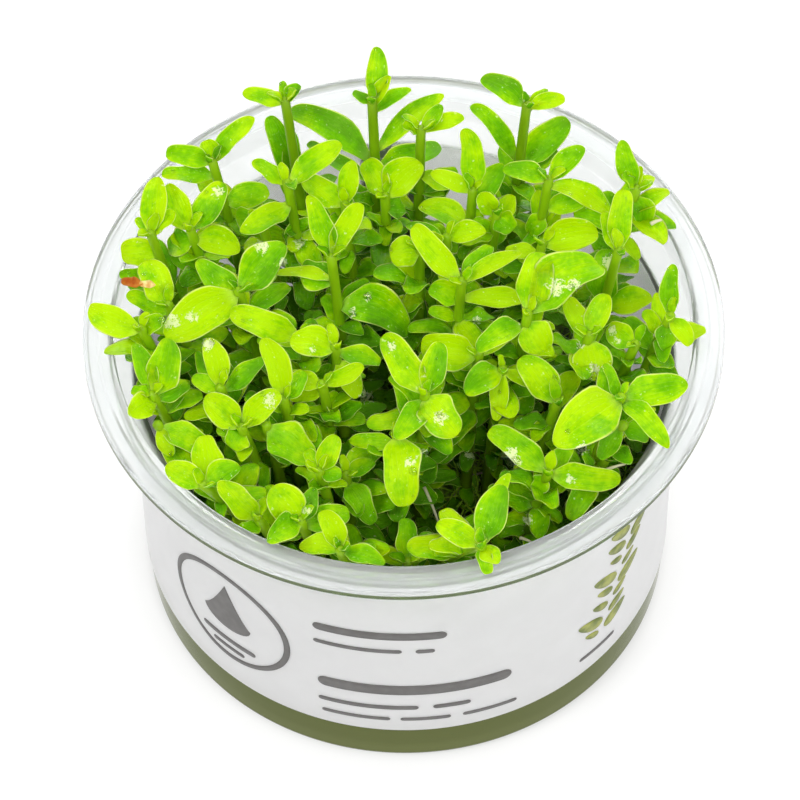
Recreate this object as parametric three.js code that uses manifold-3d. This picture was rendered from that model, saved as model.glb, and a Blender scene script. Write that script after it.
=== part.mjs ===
// Potted lemon bacopa: a clear plastic cup with a paper label, a bed of nutrient gel with a mat of
// roots on it, and the bacopa shoots that grow out of the mat. Millimetres, +Z up. The origin is the
// centre of the cup's underside, on the surface that it stands on.

import * as THREE from 'three';
import { mergeVertices } from 'three/addons/utils/BufferGeometryUtils.js';
import Module from 'manifold-3d';

const wasm = await Module();
wasm.setup();

// Cup
const CUP_HEIGHT = 60;
const FLANGE_RADIUS = 50;
const FLANGE_THICKNESS = 1;
const LIP_DROP = 2.2;
const LIP_WIDTH = 0.8;
const OPENING_RADIUS = 45.1;
const WALL = 0.8;
const WALL_TOP_RADIUS = 42.5;
const WALL_BOTTOM_RADIUS = 42.2;
const LID_SEAT_LOW = 51.5;
const LID_SEAT_HIGH = 54.5;
const BASE_CORNER = 1.5;
const FOOT_INNER_RADIUS = 36;
const FOOT_DEPTH = 1;
const ROUND_STEPS = 32;

// Label, gel and root mat
const LABEL_LOW = 8.75;
const LABEL_HIGH = 50.8;
const LABEL_THICKNESS = 0.35;
const TOUCH_GAP = 0.3;
const GEL_TOP = 14;
const MAT_TOP = 18;

// Shoots
const STEM_RADIUS = 1;
const STEM_SIDES = 5;
const STEM_STEPS = 3;
const NODE_INSET = 0.8;
const FOOT_LIMIT = 38.5;
const FOOT_LEAN = 0.8;
const FOOT_SPREAD_STEP = 0.1;
const STEM_ATTEMPTS = 120;
const TOP_SLIDES = [0, 0, 0, 1.5, -1.5, 3];
const LEAF_THICKNESS = 0.9;
const LEAF_CUPPING = 0.22;
const LEAF_ARCH = 0.12;
const LEAF_STATIONS = [0.3, 0.72];
const SMALL_LEAF_WIDTH = 4.7;
const SMALL_LEAF_STATIONS = [0.45];
const LOWER_PAIR_DROP = 8;
const LOWER_PAIR_FLOOR = 27;
const LOWER_LEAF_LENGTH = [6, 9];
const LOWER_LEAF_SLENDERNESS = 0.52;

// Clearance between neighbouring shoots: sample spacing and the radius round each sample
const SAMPLE_STEP = 0.8;
const STEM_CLEARANCE = 1.1;
const LEAF_CLEARANCE = 0.6;
const SHOOT_GAP = 0.3;
const GRID_CELL = 2.5;

// Line of sight that the shoots' places are read along, in an 800 x 800 frame
const SIGHT_ELEVATION = THREE.MathUtils.degToRad(54.73);
const SIGHT_DISTANCE = 800;
const SIGHT_FOCAL = 5033;
const SIGHT_ROLL = THREE.MathUtils.degToRad(-0.88);
const SIGHT_TARGET = new THREE.Vector3(-0.71, 0, 39.3);
const FRAME_CENTRE = 400;

const UP = new THREE.Vector3(0, 0, 1);
const SIGHT_BACK = new THREE.Vector3(0, -Math.cos(SIGHT_ELEVATION), Math.sin(SIGHT_ELEVATION));
const SIGHT_UP = new THREE.Vector3(0, Math.sin(SIGHT_ELEVATION), Math.cos(SIGHT_ELEVATION));
const SIGHT_EYE = SIGHT_TARGET.clone().addScaledVector(SIGHT_BACK, SIGHT_DISTANCE);

// Each shoot: its top node as [across, down] in the frame, the node's height, and its leaves.
// Each leaf: [how far below the top it grows, tip across, tip down, rise of the tip above its node,
// width, how far the blade turns to the viewer from 0 to 1, arch of the midrib].
const SHOOTS = [
  { at: [372, 100], height: 79, leaves: [[0, 377, 47, 6, 3.7, 0.7], [0, 353, 91, 1.5, 2], [1, 389, 76, 5, 2.4],
    [2, 411, 88, 3, 2.6], [11, 443, 93, 8, 3.8, 0.5], [14, 290, 113, 2, 5, 0.6, 0.42],
    [14.5, 441, 145, 1, 4.6, 0.7], [18, 304, 138, -1, 2.8, 0.5]] },
  { at: [285, 100], height: 77, leaves: [[0, 242, 91, 1.5, 3.2, 0.4], [0, 300, 85, 2.5, 2.4], [1, 282, 81, 3, 1.8],
    [19, 270, 116, 11, 4.2, 0.9], [19, 289, 128, 9, 3.6, 0.9]] },
  { at: [527, 104], height: 77, leaves: [[0, 481, 79, 2, 4.2, 0.7], [0, 565, 99, 1, 2.8, 0.5], [1, 547, 88, 2, 2.2],
    [12.5, 569, 119, 5, 5.2, 0.7], [12.5, 471, 102, 8, 3.2, 0.4, 0.25]] },
  { at: [421, 128], height: 74, leaves: [[0, 441, 104, 3, 3, 0.2], [0, 464, 119, 1, 2.8, 0.5],
    [0.5, 403, 124, 1, 2.4], [9, 452, 186, -1, 3.4, 0.6]] },
  { at: [549, 178], height: 73, leaves: [[0, 584, 146, 4, 3.8, 0.6], [1, 613, 217, -5, 4, 0.7, 0.4],
    [0, 503, 170, 1, 3.6, 0.7], [6, 589, 196, 1, 3.8, 0.7], [7, 528, 234, -3, 3.6, 0.9]] },
  { at: [637, 188], height: 72, leaves: [[0, 621, 140, 6, 3.6, 0.7], [0, 653, 176, 1, 2.6, 0.5],
    [0.5, 641, 166, 3, 2], [1, 645, 227, -4, 4, 0.8, 0.2]] },
  { at: [619, 250], height: 69, leaves: [[0, 624, 190, 8, 4.2, 0.8], [0, 604, 212, 4, 3, 0.6],
    [13, 609, 249, 8, 5.4, 0.9], [13, 652, 297, 2, 4.6, 0.8]] },
  { at: [473, 190], height: 70, leaves: [[0, 465, 128, 8, 4.2, 0.9], [0, 430, 172, 2, 3, 0.6],
    [2, 503, 165, 3, 4.2, 0.8], [8, 420, 205, 0, 4.6, 0.7]] },
  { at: [212, 160], height: 72, leaves: [[0, 254, 116, 5, 3.4, 0.7], [0, 166, 153, 2, 3.6, 0.7],
    [0.5, 206, 140, 3, 3.4, 0.8], [3, 161, 174, 0, 3.4, 0.6], [9, 269, 190, 1, 4.8, 0.8]] },
  { at: [190, 228], height: 68, leaves: [[0, 168, 183, 5, 5, 0.95], [0, 223, 182, 5, 4.8, 0.95],
    [2, 167, 250, -2, 4.6, 0.9], [2, 240, 251, -1, 5, 0.9]] },
  { at: [150, 232], height: 69, leaves: [[0, 158, 177, 6, 4.6, 0.95], [0, 175, 212, 2, 3, 0.6],
    [1, 136, 219, 1, 2, 0.5], [5, 120, 252, 0, 5, 0.9], [9, 119, 274, -1, 3, 0.6]] },
  { at: [287, 182], height: 71, leaves: [[0, 341, 142, 5, 4.4, 0.8], [0, 252, 160, 2, 3, 0.5],
    [4, 240, 232, -2, 4.4, 0.7], [8, 300, 232, -2, 5, 0.8]] },
  { at: [345, 203], height: 67, leaves: [[0, 353, 160, 6, 3.6, 0.9], [0, 303, 178, 3, 4.6, 0.8]] },
  { at: [385, 195], height: 65, leaves: [[0, 420, 162, 4, 6, 0.9], [2, 405, 208, -1, 4.6, 0.6],
    [0, 366, 160, 4, 4.4, 0.8]] },
  { at: [331, 256], height: 71, leaves: [[0, 308, 195, 8, 3.9, 0.9], [0, 362, 203, 8, 3.9, 0.9],
    [12, 409, 333, -3, 6.8, 0.95, 0.5], [6, 301, 266, 1, 5.2, 0.9], [5, 274, 272, -1, 2.6, 0.3]] },
  { at: [420, 247], height: 66, leaves: [[0, 390, 256, 0, 5.4, 0.8], [3, 442, 236, 1, 3.4, 0.6]] },
  { at: [462, 280], height: 68, leaves: [[0, 414, 227, 5, 4.4, 0.9, 0.2], [0, 521, 253, 2, 3, 0.8],
    [1, 490, 245, 3, 3.4, 0.8], [4, 528, 301, -2, 3.6, 0.7], [5, 429, 288, 2, 4.2, 0.7]] },
  { at: [447, 236], height: 67, leaves: [[0, 486, 231, 2, 3.8, 0.9], [1, 404, 222, 1, 3.4, 0.5]] },
  { at: [497, 212], height: 68, leaves: [[0, 480, 193, 3, 3.6, 0.8], [0, 514, 229, -1, 4, 0.9]] },
  { at: [528, 312], height: 69, leaves: [[0, 539, 252, 7, 6.2, 0.95, 0.2], [0, 600, 262, 5, 7.6, 0.95, 0.3],
    [2, 546, 353, -3, 6.2, 0.95], [3, 478, 350, -1, 4, 0.8]] },
  { at: [543, 242], height: 67, leaves: [[0, 598, 232, 3, 5.6, 0.9], [2, 505, 250, 0, 3.2, 0.6]] },
  { at: [238, 290], height: 68, leaves: [[0, 166, 337, -3, 7.4, 0.95, 0.15], [0, 284, 243, 5, 6.4, 0.95],
    [2, 197, 262, 3, 4.6, 0.9]] },
  { at: [168, 304], height: 66, leaves: [[0, 147, 260, 4, 5.4, 0.95], [2, 127, 296, 1, 3.4, 0.6]] },
  { at: [141, 328], height: 66, leaves: [[0, 89, 308, 2, 5, 0.9], [1, 162, 316, 1, 3, 0.6]] },
  { at: [152, 394], height: 63, leaves: [[0, 134, 343, 6, 3.6, 0.8], [0, 169, 338, 7, 5.8, 0.9],
    [1, 188, 383, 1, 3.6, 0.8], [1, 128, 415, -1, 5.2, 0.8], [0, 156, 360, 4, 1.8, 0.5]] },
  { at: [157, 424], height: 61, leaves: [[0, 172, 456, -2, 2.6, 0.6], [0, 217, 456, -2, 4.6, 0.9]] },
  { at: [203, 485], height: 60, leaves: [[0, 165, 465, 1, 4.4, 0.9], [0, 239, 466, 1, 4.2, 0.9],
    [3, 203, 434, 4, 5, 0.8]] },
  { at: [258, 518], height: 58, leaves: [[0, 220, 482, 3, 5.4, 0.9], [2, 240, 530, -1, 2.6, 0.6]] },
  { at: [220, 387], height: 64, leaves: [[0, 208, 338, 6, 4.2, 0.9], [0, 192, 378, 1, 3.2, 0.8],
    [1, 264, 358, 3, 3.4, 0.8], [3, 196, 352, 3, 3, 0.7]] },
  { at: [241, 426], height: 62.5, leaves: [[0, 279, 392, 3, 4.4, 0.95], [0, 205, 396, 3, 5.2, 0.95],
    [1, 231, 448, -1, 4.4, 0.95]] },
  { at: [283, 398], height: 64, leaves: [[0, 263, 338, 7, 4.4, 0.95], [0, 304, 371, 3, 3.4, 0.8]] },
  { at: [266, 424], height: 60, leaves: [[0, 313, 460, -2, 6.4, 0.95, 0.1]] },
  { at: [302, 336], height: 66, leaves: [[0, 230, 311, 1, 5, 0.9, 0.15], [2, 260, 328, -1, 3.4, 0.5]] },
  { at: [335, 346], height: 66.5, leaves: [[0, 290, 339, 1, 5.2, 0.95], [1, 381, 362, -1, 3.4, 0.7],
    [3, 358, 398, -3, 4, 0.7]] },
  { at: [322, 383], height: 64, leaves: [[0, 364, 366, 2, 3, 0.8], [0, 288, 374, 1, 3.4, 0.8],
    [2, 290, 399, -1, 3.2, 0.8], [3, 344, 416, -3, 5, 0.7]] },
  { at: [425, 393], height: 66, leaves: [[0, 383, 335, 5, 5.4, 0.95], [0, 440, 342, 6, 4.4, 0.9],
    [0.5, 457, 435, -2, 6.6, 0.95, 0.2], [1, 397, 438, -2, 4.4, 0.9]] },
  { at: [479, 353], height: 64, leaves: [[0, 421, 343, 2, 6.2, 0.9], [0, 512, 322, 2, 3.8, 0.8]] },
  { at: [503, 368], height: 63, leaves: [[0, 466, 394, -1, 5, 0.9], [0, 496, 421, -4, 3.2, 0.8],
    [0, 541, 386, -2, 2.6, 0.5]] },
  { at: [397, 433], height: 63, leaves: [[0, 403, 507, -5, 6.6, 0.95, 0.3], [3, 348, 440, -1, 3, 0.5]] },
  { at: [590, 334], height: 65, leaves: [[0, 607, 294, 4, 4.2, 0.7], [1, 601, 381, -3, 6.6, 0.95],
    [1, 566, 299, 4, 3.6, 0.6]] },
  { at: [636, 343], height: 63, leaves: [[0, 609, 326, 1, 4.4, 0.9]] },
  { at: [671, 315], height: 67, leaves: [[0, 673, 264, 6, 3.2, 0.9], [0, 691, 345, -2, 3.2, 0.8],
    [1, 666, 352, -3, 3.6, 0.8]] },
  { at: [558, 402], height: 61, leaves: [[0, 520, 357, 3, 5.6, 0.95], [2, 578, 372, 2, 4, 0.7]] },
  { at: [622, 396], height: 67, leaves: [[0, 556, 443, -2, 8.4, 0.98, 0.15], [0, 688, 384, 0, 5.6, 0.9],
    [1, 668, 448, -4, 3.8, 0.8, 0.35], [1, 605, 363, 4, 2.2, 0.4]] },
  { at: [624, 424], height: 61, leaves: [[0, 649, 439, -2, 3.8, 0.8], [0, 600, 460, -3, 3.6, 0.8],
    [2, 655, 408, 1, 3.6, 0.7]] },
  { at: [549, 472], height: 57, leaves: [[0, 490, 431, 3, 4.8, 0.95], [0, 621, 480, -1, 4.6, 0.95],
    [1, 536, 492, -3, 3.2, 0.8], [1, 570, 444, 2, 3.4, 0.7]] },
  { at: [482, 546], height: 62, leaves: [[0, 503, 484, 6, 5.2, 0.98], [0, 437, 523, 2, 4, 0.95],
    [0, 499, 563, 0, 3.2, 0.8], [0, 489, 574, 0, 2.6, 0.7], [4, 510, 473, 6, 2.8, 0.8]] },
  { at: [408, 561], height: 47, leaves: [[0, 405, 518, 5, 3.9, 0.95], [0, 432, 541, 1, 3.2, 0.9],
    [1, 371, 548, 1, 2.8, 0.8]] },
  { at: [340, 549], height: 58, leaves: [[0, 322, 511, 5, 4, 0.95], [0, 385, 563, -1, 3.2, 0.8],
    [0, 299, 547, 0, 3.6, 0.8]] },
  { at: [300, 520], height: 59, leaves: [[0, 272, 487, 4, 6.2, 0.9], [0, 270, 540, -1, 5.2, 0.95],
    [1, 314, 487, 4, 3, 0.7], [2, 350, 512, 0, 4.6, 0.9]] },
  { at: [319, 470], height: 61, leaves: [[0, 336, 435, 4, 3.8, 0.95], [0, 342, 474, 0, 3, 0.8],
    [1, 306, 450, 2, 2.6, 0.7]] },
  { at: [346, 474], height: 56, leaves: [[0, 373, 461, 0, 3, 0.8], [1, 386, 442, 2, 4.6, 0.6],
    [2, 374, 524, -4, 4.2, 0.7, 0.3]] },
  { at: [594, 470], height: 52, leaves: [[0, 570, 520, -3, 4.4, 0.7]] },
  { at: [262, 222], height: 64, leaves: [[0, 287, 214, -1, 4.2, 0.7], [0, 236, 212, 1, 4, 0.7]] },
  { at: [540, 515], height: 38, leaves: [[0, 528, 545, -3, 5, 0.9], [0, 512, 494, 1, 4, 0.8]] },
];

// Colours
const CLEAR_PLASTIC = { color: 0xe9f0f2, roughness: 0.12, metalness: 0, transparent: true, opacity: 0.3 };
const LABEL_PAPER = { color: 0xececea, roughness: 0.55, metalness: 0 };
const GEL = { color: 0x69703f, roughness: 0.3, metalness: 0 };
const ROOTS = { color: 0x2c3a12, roughness: 0.7, metalness: 0 };
const LEAF_GREENS = [0x9ccb10, 0x86b90c, 0xaed41a, 0x74a60d];

// Repeatable random numbers
function makeRandom(seed) {
  let state = seed;
  return (low = 0, high = 1) => {
    state = (state * 1664525 + 1013904223) % 4294967296;
    return low + (high - low) * (state / 4294967296);
  };
}

// Closed solids from geometry, and back
function toSolid(geometry) {
  const bare = geometry.clone();
  for (const name of Object.keys(bare.attributes)) {
    if (name !== 'position') bare.deleteAttribute(name);
  }
  const merged = mergeVertices(bare, 1e-4);
  const points = merged.attributes.position;
  const index = merged.index.array;
  const triangles = [];
  let volume = 0;
  const [a, b, c] = [new THREE.Vector3(), new THREE.Vector3(), new THREE.Vector3()];
  for (let i = 0; i < index.length; i += 3) {
    const [p, q, r] = [index[i], index[i + 1], index[i + 2]];
    if (p === q || q === r || r === p) continue;
    triangles.push(p, q, r);
    a.fromBufferAttribute(points, p);
    b.fromBufferAttribute(points, q);
    c.fromBufferAttribute(points, r);
    volume += a.dot(b.cross(c));
  }
  if (volume < 0) triangles.reverse();
  return new wasm.Manifold(new wasm.Mesh({
    numProp: 3,
    vertProperties: new Float32Array(points.array),
    triVerts: new Uint32Array(triangles),
  }));
}

function toGeometry(solid) {
  const mesh = solid.getMesh();
  const geometry = new THREE.BufferGeometry();
  geometry.setAttribute('position', new THREE.BufferAttribute(new Float32Array(mesh.vertProperties), 3));
  geometry.setIndex(new THREE.BufferAttribute(new Uint32Array(mesh.triVerts), 1));
  geometry.computeVertexNormals();
  return geometry;
}

// A round body from its profile, given as [radius, height] points
function turned(profile) {
  const points = profile.map(([radius, height]) => new THREE.Vector2(radius, height));
  const geometry = new THREE.LatheGeometry(points, ROUND_STEPS);
  geometry.rotateX(Math.PI / 2);
  return toGeometry(toSolid(geometry));
}

function wallRadius(height) {
  const share = height / LID_SEAT_LOW;
  return WALL_BOTTOM_RADIUS + (WALL_TOP_RADIUS - WALL_BOTTOM_RADIUS) * share;
}

function cupProfile() {
  const seat = OPENING_RADIUS + WALL;
  const under = CUP_HEIGHT - FLANGE_THICKNESS;
  const floor = FOOT_DEPTH + WALL;
  return [
    [0, FOOT_DEPTH], [FOOT_INNER_RADIUS, FOOT_DEPTH], [FOOT_INNER_RADIUS + FOOT_DEPTH, 0],
    [wallRadius(0) - BASE_CORNER, 0], [wallRadius(BASE_CORNER), BASE_CORNER],
    [WALL_TOP_RADIUS, LID_SEAT_LOW], [seat, LID_SEAT_HIGH], [seat, under],
    [FLANGE_RADIUS - LIP_WIDTH, under], [FLANGE_RADIUS - LIP_WIDTH, CUP_HEIGHT - LIP_DROP],
    [FLANGE_RADIUS, CUP_HEIGHT - LIP_DROP], [FLANGE_RADIUS, CUP_HEIGHT], [OPENING_RADIUS, CUP_HEIGHT],
    [OPENING_RADIUS, LID_SEAT_HIGH + WALL / 2], [WALL_TOP_RADIUS - WALL, LID_SEAT_LOW + WALL / 2],
    [wallRadius(floor) - WALL, floor], [0, floor],
  ];
}

function labelProfile() {
  const inner = (height) => wallRadius(height) + TOUCH_GAP / 2;
  return [
    [inner(LABEL_LOW), LABEL_LOW], [inner(LABEL_LOW) + LABEL_THICKNESS, LABEL_LOW],
    [inner(LABEL_HIGH) + LABEL_THICKNESS, LABEL_HIGH], [inner(LABEL_HIGH), LABEL_HIGH],
    [inner(LABEL_LOW), LABEL_LOW],
  ];
}

function fillProfile(low, high) {
  const edge = (height) => wallRadius(height) - WALL - TOUCH_GAP;
  return [[0, low], [edge(low), low], [edge(high), high], [0, high]];
}

// Point on the line of sight through a place in the frame, at a height
function sightPoint([across, down], height) {
  const [right, below] = [across - FRAME_CENTRE, down - FRAME_CENTRE];
  const [cos, sin] = [Math.cos(SIGHT_ROLL), Math.sin(SIGHT_ROLL)];
  const direction = SIGHT_BACK.clone().negate();
  direction.x += (cos * right + sin * below) / SIGHT_FOCAL;
  direction.addScaledVector(SIGHT_UP, -(cos * below - sin * right) / SIGHT_FOCAL);
  return SIGHT_EYE.clone().addScaledVector(direction, (height - SIGHT_EYE.z) / direction.z);
}

// Points already taken by shoots, kept in a grid
class Clearance {
  constructor() {
    this.cells = new Map();
  }

  key(x, y, z) {
    return (Math.floor(x / GRID_CELL) * 1000 + Math.floor(y / GRID_CELL)) * 1000 + Math.floor(z / GRID_CELL);
  }

  add(samples, owner) {
    for (const { point, radius } of samples) {
      const key = this.key(point.x, point.y, point.z);
      if (!this.cells.has(key)) this.cells.set(key, []);
      this.cells.get(key).push({ point, radius, owner });
    }
  }

  fits(samples, owner) {
    return samples.every(({ point, radius }) => clearOfCup(point) && this.clearOfShoots(point, radius, owner));
  }

  clearOfShoots(point, radius, owner) {
    for (const dx of [-GRID_CELL, 0, GRID_CELL]) {
      for (const dy of [-GRID_CELL, 0, GRID_CELL]) {
        for (const dz of [-GRID_CELL, 0, GRID_CELL]) {
          for (const other of this.cells.get(this.key(point.x + dx, point.y + dy, point.z + dz)) ?? []) {
            if (other.owner === owner) continue;
            if (other.point.distanceTo(point) < other.radius + radius + SHOOT_GAP) return false;
          }
        }
      }
    }
    return true;
  }
}

function clearOfCup(point) {
  const margin = LEAF_THICKNESS / 2 + SHOOT_GAP;
  const reach = Math.hypot(point.x, point.y);
  if (point.z > CUP_HEIGHT + margin) return reach < FLANGE_RADIUS;
  if (point.z > LID_SEAT_HIGH + WALL) return reach < OPENING_RADIUS - margin;
  return reach < wallRadius(0) - WALL - margin && point.z > MAT_TOP + margin;
}

// Stem: upright out of the mat, then leaning out to its top node
function stemCurve(foot, top) {
  const bend = new THREE.Vector3().lerpVectors(foot, top, 0.25);
  bend.z = (foot.z + top.z) / 2;
  return new THREE.QuadraticBezierCurve3(foot, bend, top);
}

function stemSamples(curve) {
  const count = Math.ceil(curve.v0.distanceTo(curve.v2) / SAMPLE_STEP);
  return Array.from({ length: count + 1 }, (_, i) => ({ point: curve.getPoint(i / count), radius: STEM_CLEARANCE }));
}

function placeStem({ at, height }, clearance, owner, random) {
  const base = MAT_TOP + TOUCH_GAP;
  for (let attempt = 0; attempt < STEM_ATTEMPTS; attempt += 1) {
    const slide = TOP_SLIDES[attempt % TOP_SLIDES.length];
    const spread = 1 + attempt * FOOT_SPREAD_STEP;
    const top = sightPoint(at, height + slide);
    const foot = new THREE.Vector3(top.x * FOOT_LEAN, top.y * FOOT_LEAN, base);
    foot.x += random(-spread, spread);
    foot.y += random(-spread, spread);
    const reach = Math.hypot(foot.x, foot.y);
    if (reach > FOOT_LIMIT) {
      foot.x *= FOOT_LIMIT / reach;
      foot.y *= FOOT_LIMIT / reach;
    }
    const curve = stemCurve(foot, top);
    const samples = stemSamples(curve);
    if (clearance.fits(samples.slice(2), owner)) {
      clearance.add(samples, owner);
      return curve;
    }
  }
  return null;
}

function nodePoint(stem, drop) {
  const height = stem.v2.z - stem.v0.z;
  return stem.getPoint(1 - (drop + NODE_INSET) / height);
}

// Leaf: a midrib from its node to its tip, and a blade square to its own normal
class Leaf {
  constructor(base, tip, width, facing = 0.3, arch = LEAF_ARCH) {
    const length = base.distanceTo(tip);
    const middle = new THREE.Vector3().lerpVectors(base, tip, 0.5).addScaledVector(UP, arch * length);
    const along = new THREE.Vector3().subVectors(tip, base).normalize();
    const upward = UP.clone().addScaledVector(along, -along.dot(UP)).normalize();
    const toViewer = SIGHT_BACK.clone().addScaledVector(along, -along.dot(SIGHT_BACK)).normalize();
    this.length = length;
    this.width = width;
    this.midrib = new THREE.QuadraticBezierCurve3(base, middle, tip);
    this.side = upward.lerp(toViewer, facing).normalize().cross(along).normalize();
  }

  halfWidth(t) {
    return (this.width / 2) * Math.sin(Math.PI * (0.1 + 0.9 * t)) ** 0.6;
  }

  normalAt(t) {
    return this.midrib.getTangent(t).cross(this.side).normalize();
  }

  point(t, across, lift = 0) {
    const rise = LEAF_CUPPING * Math.abs(across) + lift;
    return this.midrib.getPoint(t).addScaledVector(this.side, across).addScaledVector(this.normalAt(t), rise);
  }

  samples() {
    const list = [];
    const rows = Math.ceil(this.length / SAMPLE_STEP);
    for (let i = 1; i <= rows; i += 1) {
      const t = i / rows;
      const half = this.halfWidth(t);
      const columns = Math.ceil(half / SAMPLE_STEP);
      for (let j = -columns; j <= columns; j += 1) {
        list.push({ point: this.point(t, (half * j) / Math.max(columns, 1)), radius: LEAF_CLEARANCE });
      }
    }
    return list;
  }

  // A flat-topped, keeled blade: at each station two edges and the keel below the midrib
  solid() {
    const stations = this.width < SMALL_LEAF_WIDTH || this.lower ? SMALL_LEAF_STATIONS : LEAF_STATIONS;
    const vertices = [this.midrib.getPoint(0)];
    for (const t of stations) {
      const edge = this.halfWidth(t);
      vertices.push(this.point(t, -edge), this.point(t, edge), this.point(t, 0, -LEAF_THICKNESS));
    }
    vertices.push(this.midrib.getPoint(1));
    const last = vertices.length - 1;
    const index = [];
    for (let side = 0; side < 3; side += 1) {
      const next = (side + 1) % 3;
      index.push(0, 1 + side, 1 + next);
      for (let row = 1; row < stations.length; row += 1) {
        const [a, b] = [3 * row - 2 + side, 3 * row - 2 + next];
        index.push(a, a + 3, b, b, a + 3, b + 3);
      }
      index.push(last - 3 + side, last, last - 3 + next);
    }
    const geometry = new THREE.BufferGeometry().setFromPoints(vertices);
    geometry.setIndex(index);
    return toSolid(geometry);
  }
}

// A leaf at a place in the frame, slid along the line of sight until it clears its neighbours
function placeLeaf(stem, [drop, across, down, rise, width, facing, arch], clearance, owner) {
  const base = nodePoint(stem, drop);
  for (const narrowing of [1, 0.82, 0.66]) {
    for (const slide of [0, 1.5, -1.5, 3, -3, 4.5, -4.5, 6, -6]) {
      const tip = sightPoint([across, down], base.z + rise + slide);
      const leaf = new Leaf(base, tip, width * narrowing, facing, arch);
      const samples = leaf.samples();
      if (clearance.fits(samples, owner)) {
        clearance.add(samples, owner);
        return leaf;
      }
    }
  }
  return null;
}

// A lower leaf, turned or shortened until it clears its neighbours
function placeLowerLeaf(base, heading, climb, length, clearance, owner) {
  for (const [turn, scale] of [[0, 1], [0.5, 1], [-0.5, 1], [0, 0.75], [0.9, 0.75], [-0.9, 0.75], [0, 0.55]]) {
    const reach = length * scale;
    const tip = new THREE.Vector3(
      base.x + Math.cos(heading + turn) * Math.cos(climb) * reach,
      base.y + Math.sin(heading + turn) * Math.cos(climb) * reach,
      base.z + Math.sin(climb) * reach,
    );
    const leaf = new Leaf(base, tip, reach * LOWER_LEAF_SLENDERNESS, 0);
    leaf.lower = true;
    const samples = leaf.samples();
    if (clearance.fits(samples, owner)) {
      clearance.add(samples, owner);
      return leaf;
    }
  }
  return null;
}

function stemSolid(curve) {
  const section = new THREE.Shape();
  for (let i = 0; i < STEM_SIDES; i += 1) {
    const angle = (2 * Math.PI * i) / STEM_SIDES;
    const place = [STEM_RADIUS * Math.cos(angle), STEM_RADIUS * Math.sin(angle)];
    if (i === 0) section.moveTo(...place);
    else section.lineTo(...place);
  }
  section.closePath();
  return toSolid(new THREE.ExtrudeGeometry(section, { steps: STEM_STEPS, extrudePath: curve }));
}

// Every shoot: all stems first, then the leaves that show, then a lower pair on each stem
function growShoots() {
  const clearance = new Clearance();
  const random = makeRandom(20240611);
  const shoots = SHOOTS.map((entry, owner) => ({
    ...entry,
    owner,
    stem: placeStem(entry, clearance, owner, random),
    grown: [],
  })).filter((shoot) => shoot.stem !== null);
  for (const shoot of shoots) {
    for (const row of shoot.leaves) {
      shoot.grown.push(placeLeaf(shoot.stem, row, clearance, shoot.owner));
    }
  }
  for (const shoot of shoots) {
    const lowest = Math.max(...shoot.leaves.map(([drop]) => drop));
    const base = nodePoint(shoot.stem, lowest + LOWER_PAIR_DROP);
    const heading = random(0, 2 * Math.PI);
    for (const half of [0, Math.PI]) {
      const climb = random(0.3, 0.8);
      const length = random(...LOWER_LEAF_LENGTH);
      if (base.z < LOWER_PAIR_FLOOR) continue;
      shoot.grown.push(placeLowerLeaf(base, heading + half, climb, length, clearance, shoot.owner));
    }
  }
  return shoots;
}

function shootGeometry(shoot) {
  let solid = stemSolid(shoot.stem);
  for (const leaf of shoot.grown) {
    if (leaf !== null) solid = solid.add(leaf.solid());
  }
  return toGeometry(solid);
}

function piece(name, geometry, look) {
  const mesh = new THREE.Mesh(geometry, new THREE.MeshStandardMaterial(look));
  mesh.name = name;
  return mesh;
}

const plant = new THREE.Group();
plant.add(piece('cup', turned(cupProfile()), CLEAR_PLASTIC));
plant.add(piece('label', turned(labelProfile()), LABEL_PAPER));
plant.add(piece('growth_gel', turned(fillProfile(FOOT_DEPTH + WALL + TOUCH_GAP, GEL_TOP)), GEL));
plant.add(piece('root_mat', turned(fillProfile(GEL_TOP + TOUCH_GAP, MAT_TOP)), ROOTS));
growShoots().forEach((shoot, index) => {
  const name = `shoot_${String(index + 1).padStart(2, '0')}`;
  const green = LEAF_GREENS[index % LEAF_GREENS.length];
  plant.add(piece(name, shootGeometry(shoot), { color: green, roughness: 0.35, metalness: 0 }));
});

export default plant;
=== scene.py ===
"""Potted lemon bacopa: the finished looks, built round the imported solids.

A clear plastic cup with a paper sleeve holds nutrient gel and a mat of roots, out of which a thicket of
bacopa shoots grows. Sizes are in millimetres and become metres when a mesh is made.
"""

from __future__ import annotations

import logging
import math
from collections.abc import Sequence
from dataclasses import dataclass, field
from enum import Enum, IntEnum
from typing import ClassVar

import bmesh
import bpy
import numpy as np
from mathutils import Matrix, Vector


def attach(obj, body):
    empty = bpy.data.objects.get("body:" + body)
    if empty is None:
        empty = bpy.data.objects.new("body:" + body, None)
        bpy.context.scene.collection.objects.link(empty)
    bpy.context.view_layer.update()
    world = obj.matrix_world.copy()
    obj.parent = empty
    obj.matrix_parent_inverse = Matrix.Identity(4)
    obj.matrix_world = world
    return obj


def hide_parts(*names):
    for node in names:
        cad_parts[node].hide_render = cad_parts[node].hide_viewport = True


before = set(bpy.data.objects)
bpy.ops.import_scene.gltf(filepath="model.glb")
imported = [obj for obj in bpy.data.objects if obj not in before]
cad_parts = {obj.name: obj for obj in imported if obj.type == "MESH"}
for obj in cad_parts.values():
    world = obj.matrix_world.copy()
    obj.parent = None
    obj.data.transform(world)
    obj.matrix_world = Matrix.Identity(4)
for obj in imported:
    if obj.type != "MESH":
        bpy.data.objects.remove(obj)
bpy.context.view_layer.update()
MM = 0.001
BODY = "root"
LOG = logging.getLogger("bacopa")
UP = np.array([0.0, 0.0, 1.0])
TURN = 2 * math.pi


def unit(vector: np.ndarray) -> np.ndarray:
    """Scale one vector, or rows of them, to length one."""
    return vector / np.linalg.norm(vector, axis=-1, keepdims=True)


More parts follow.
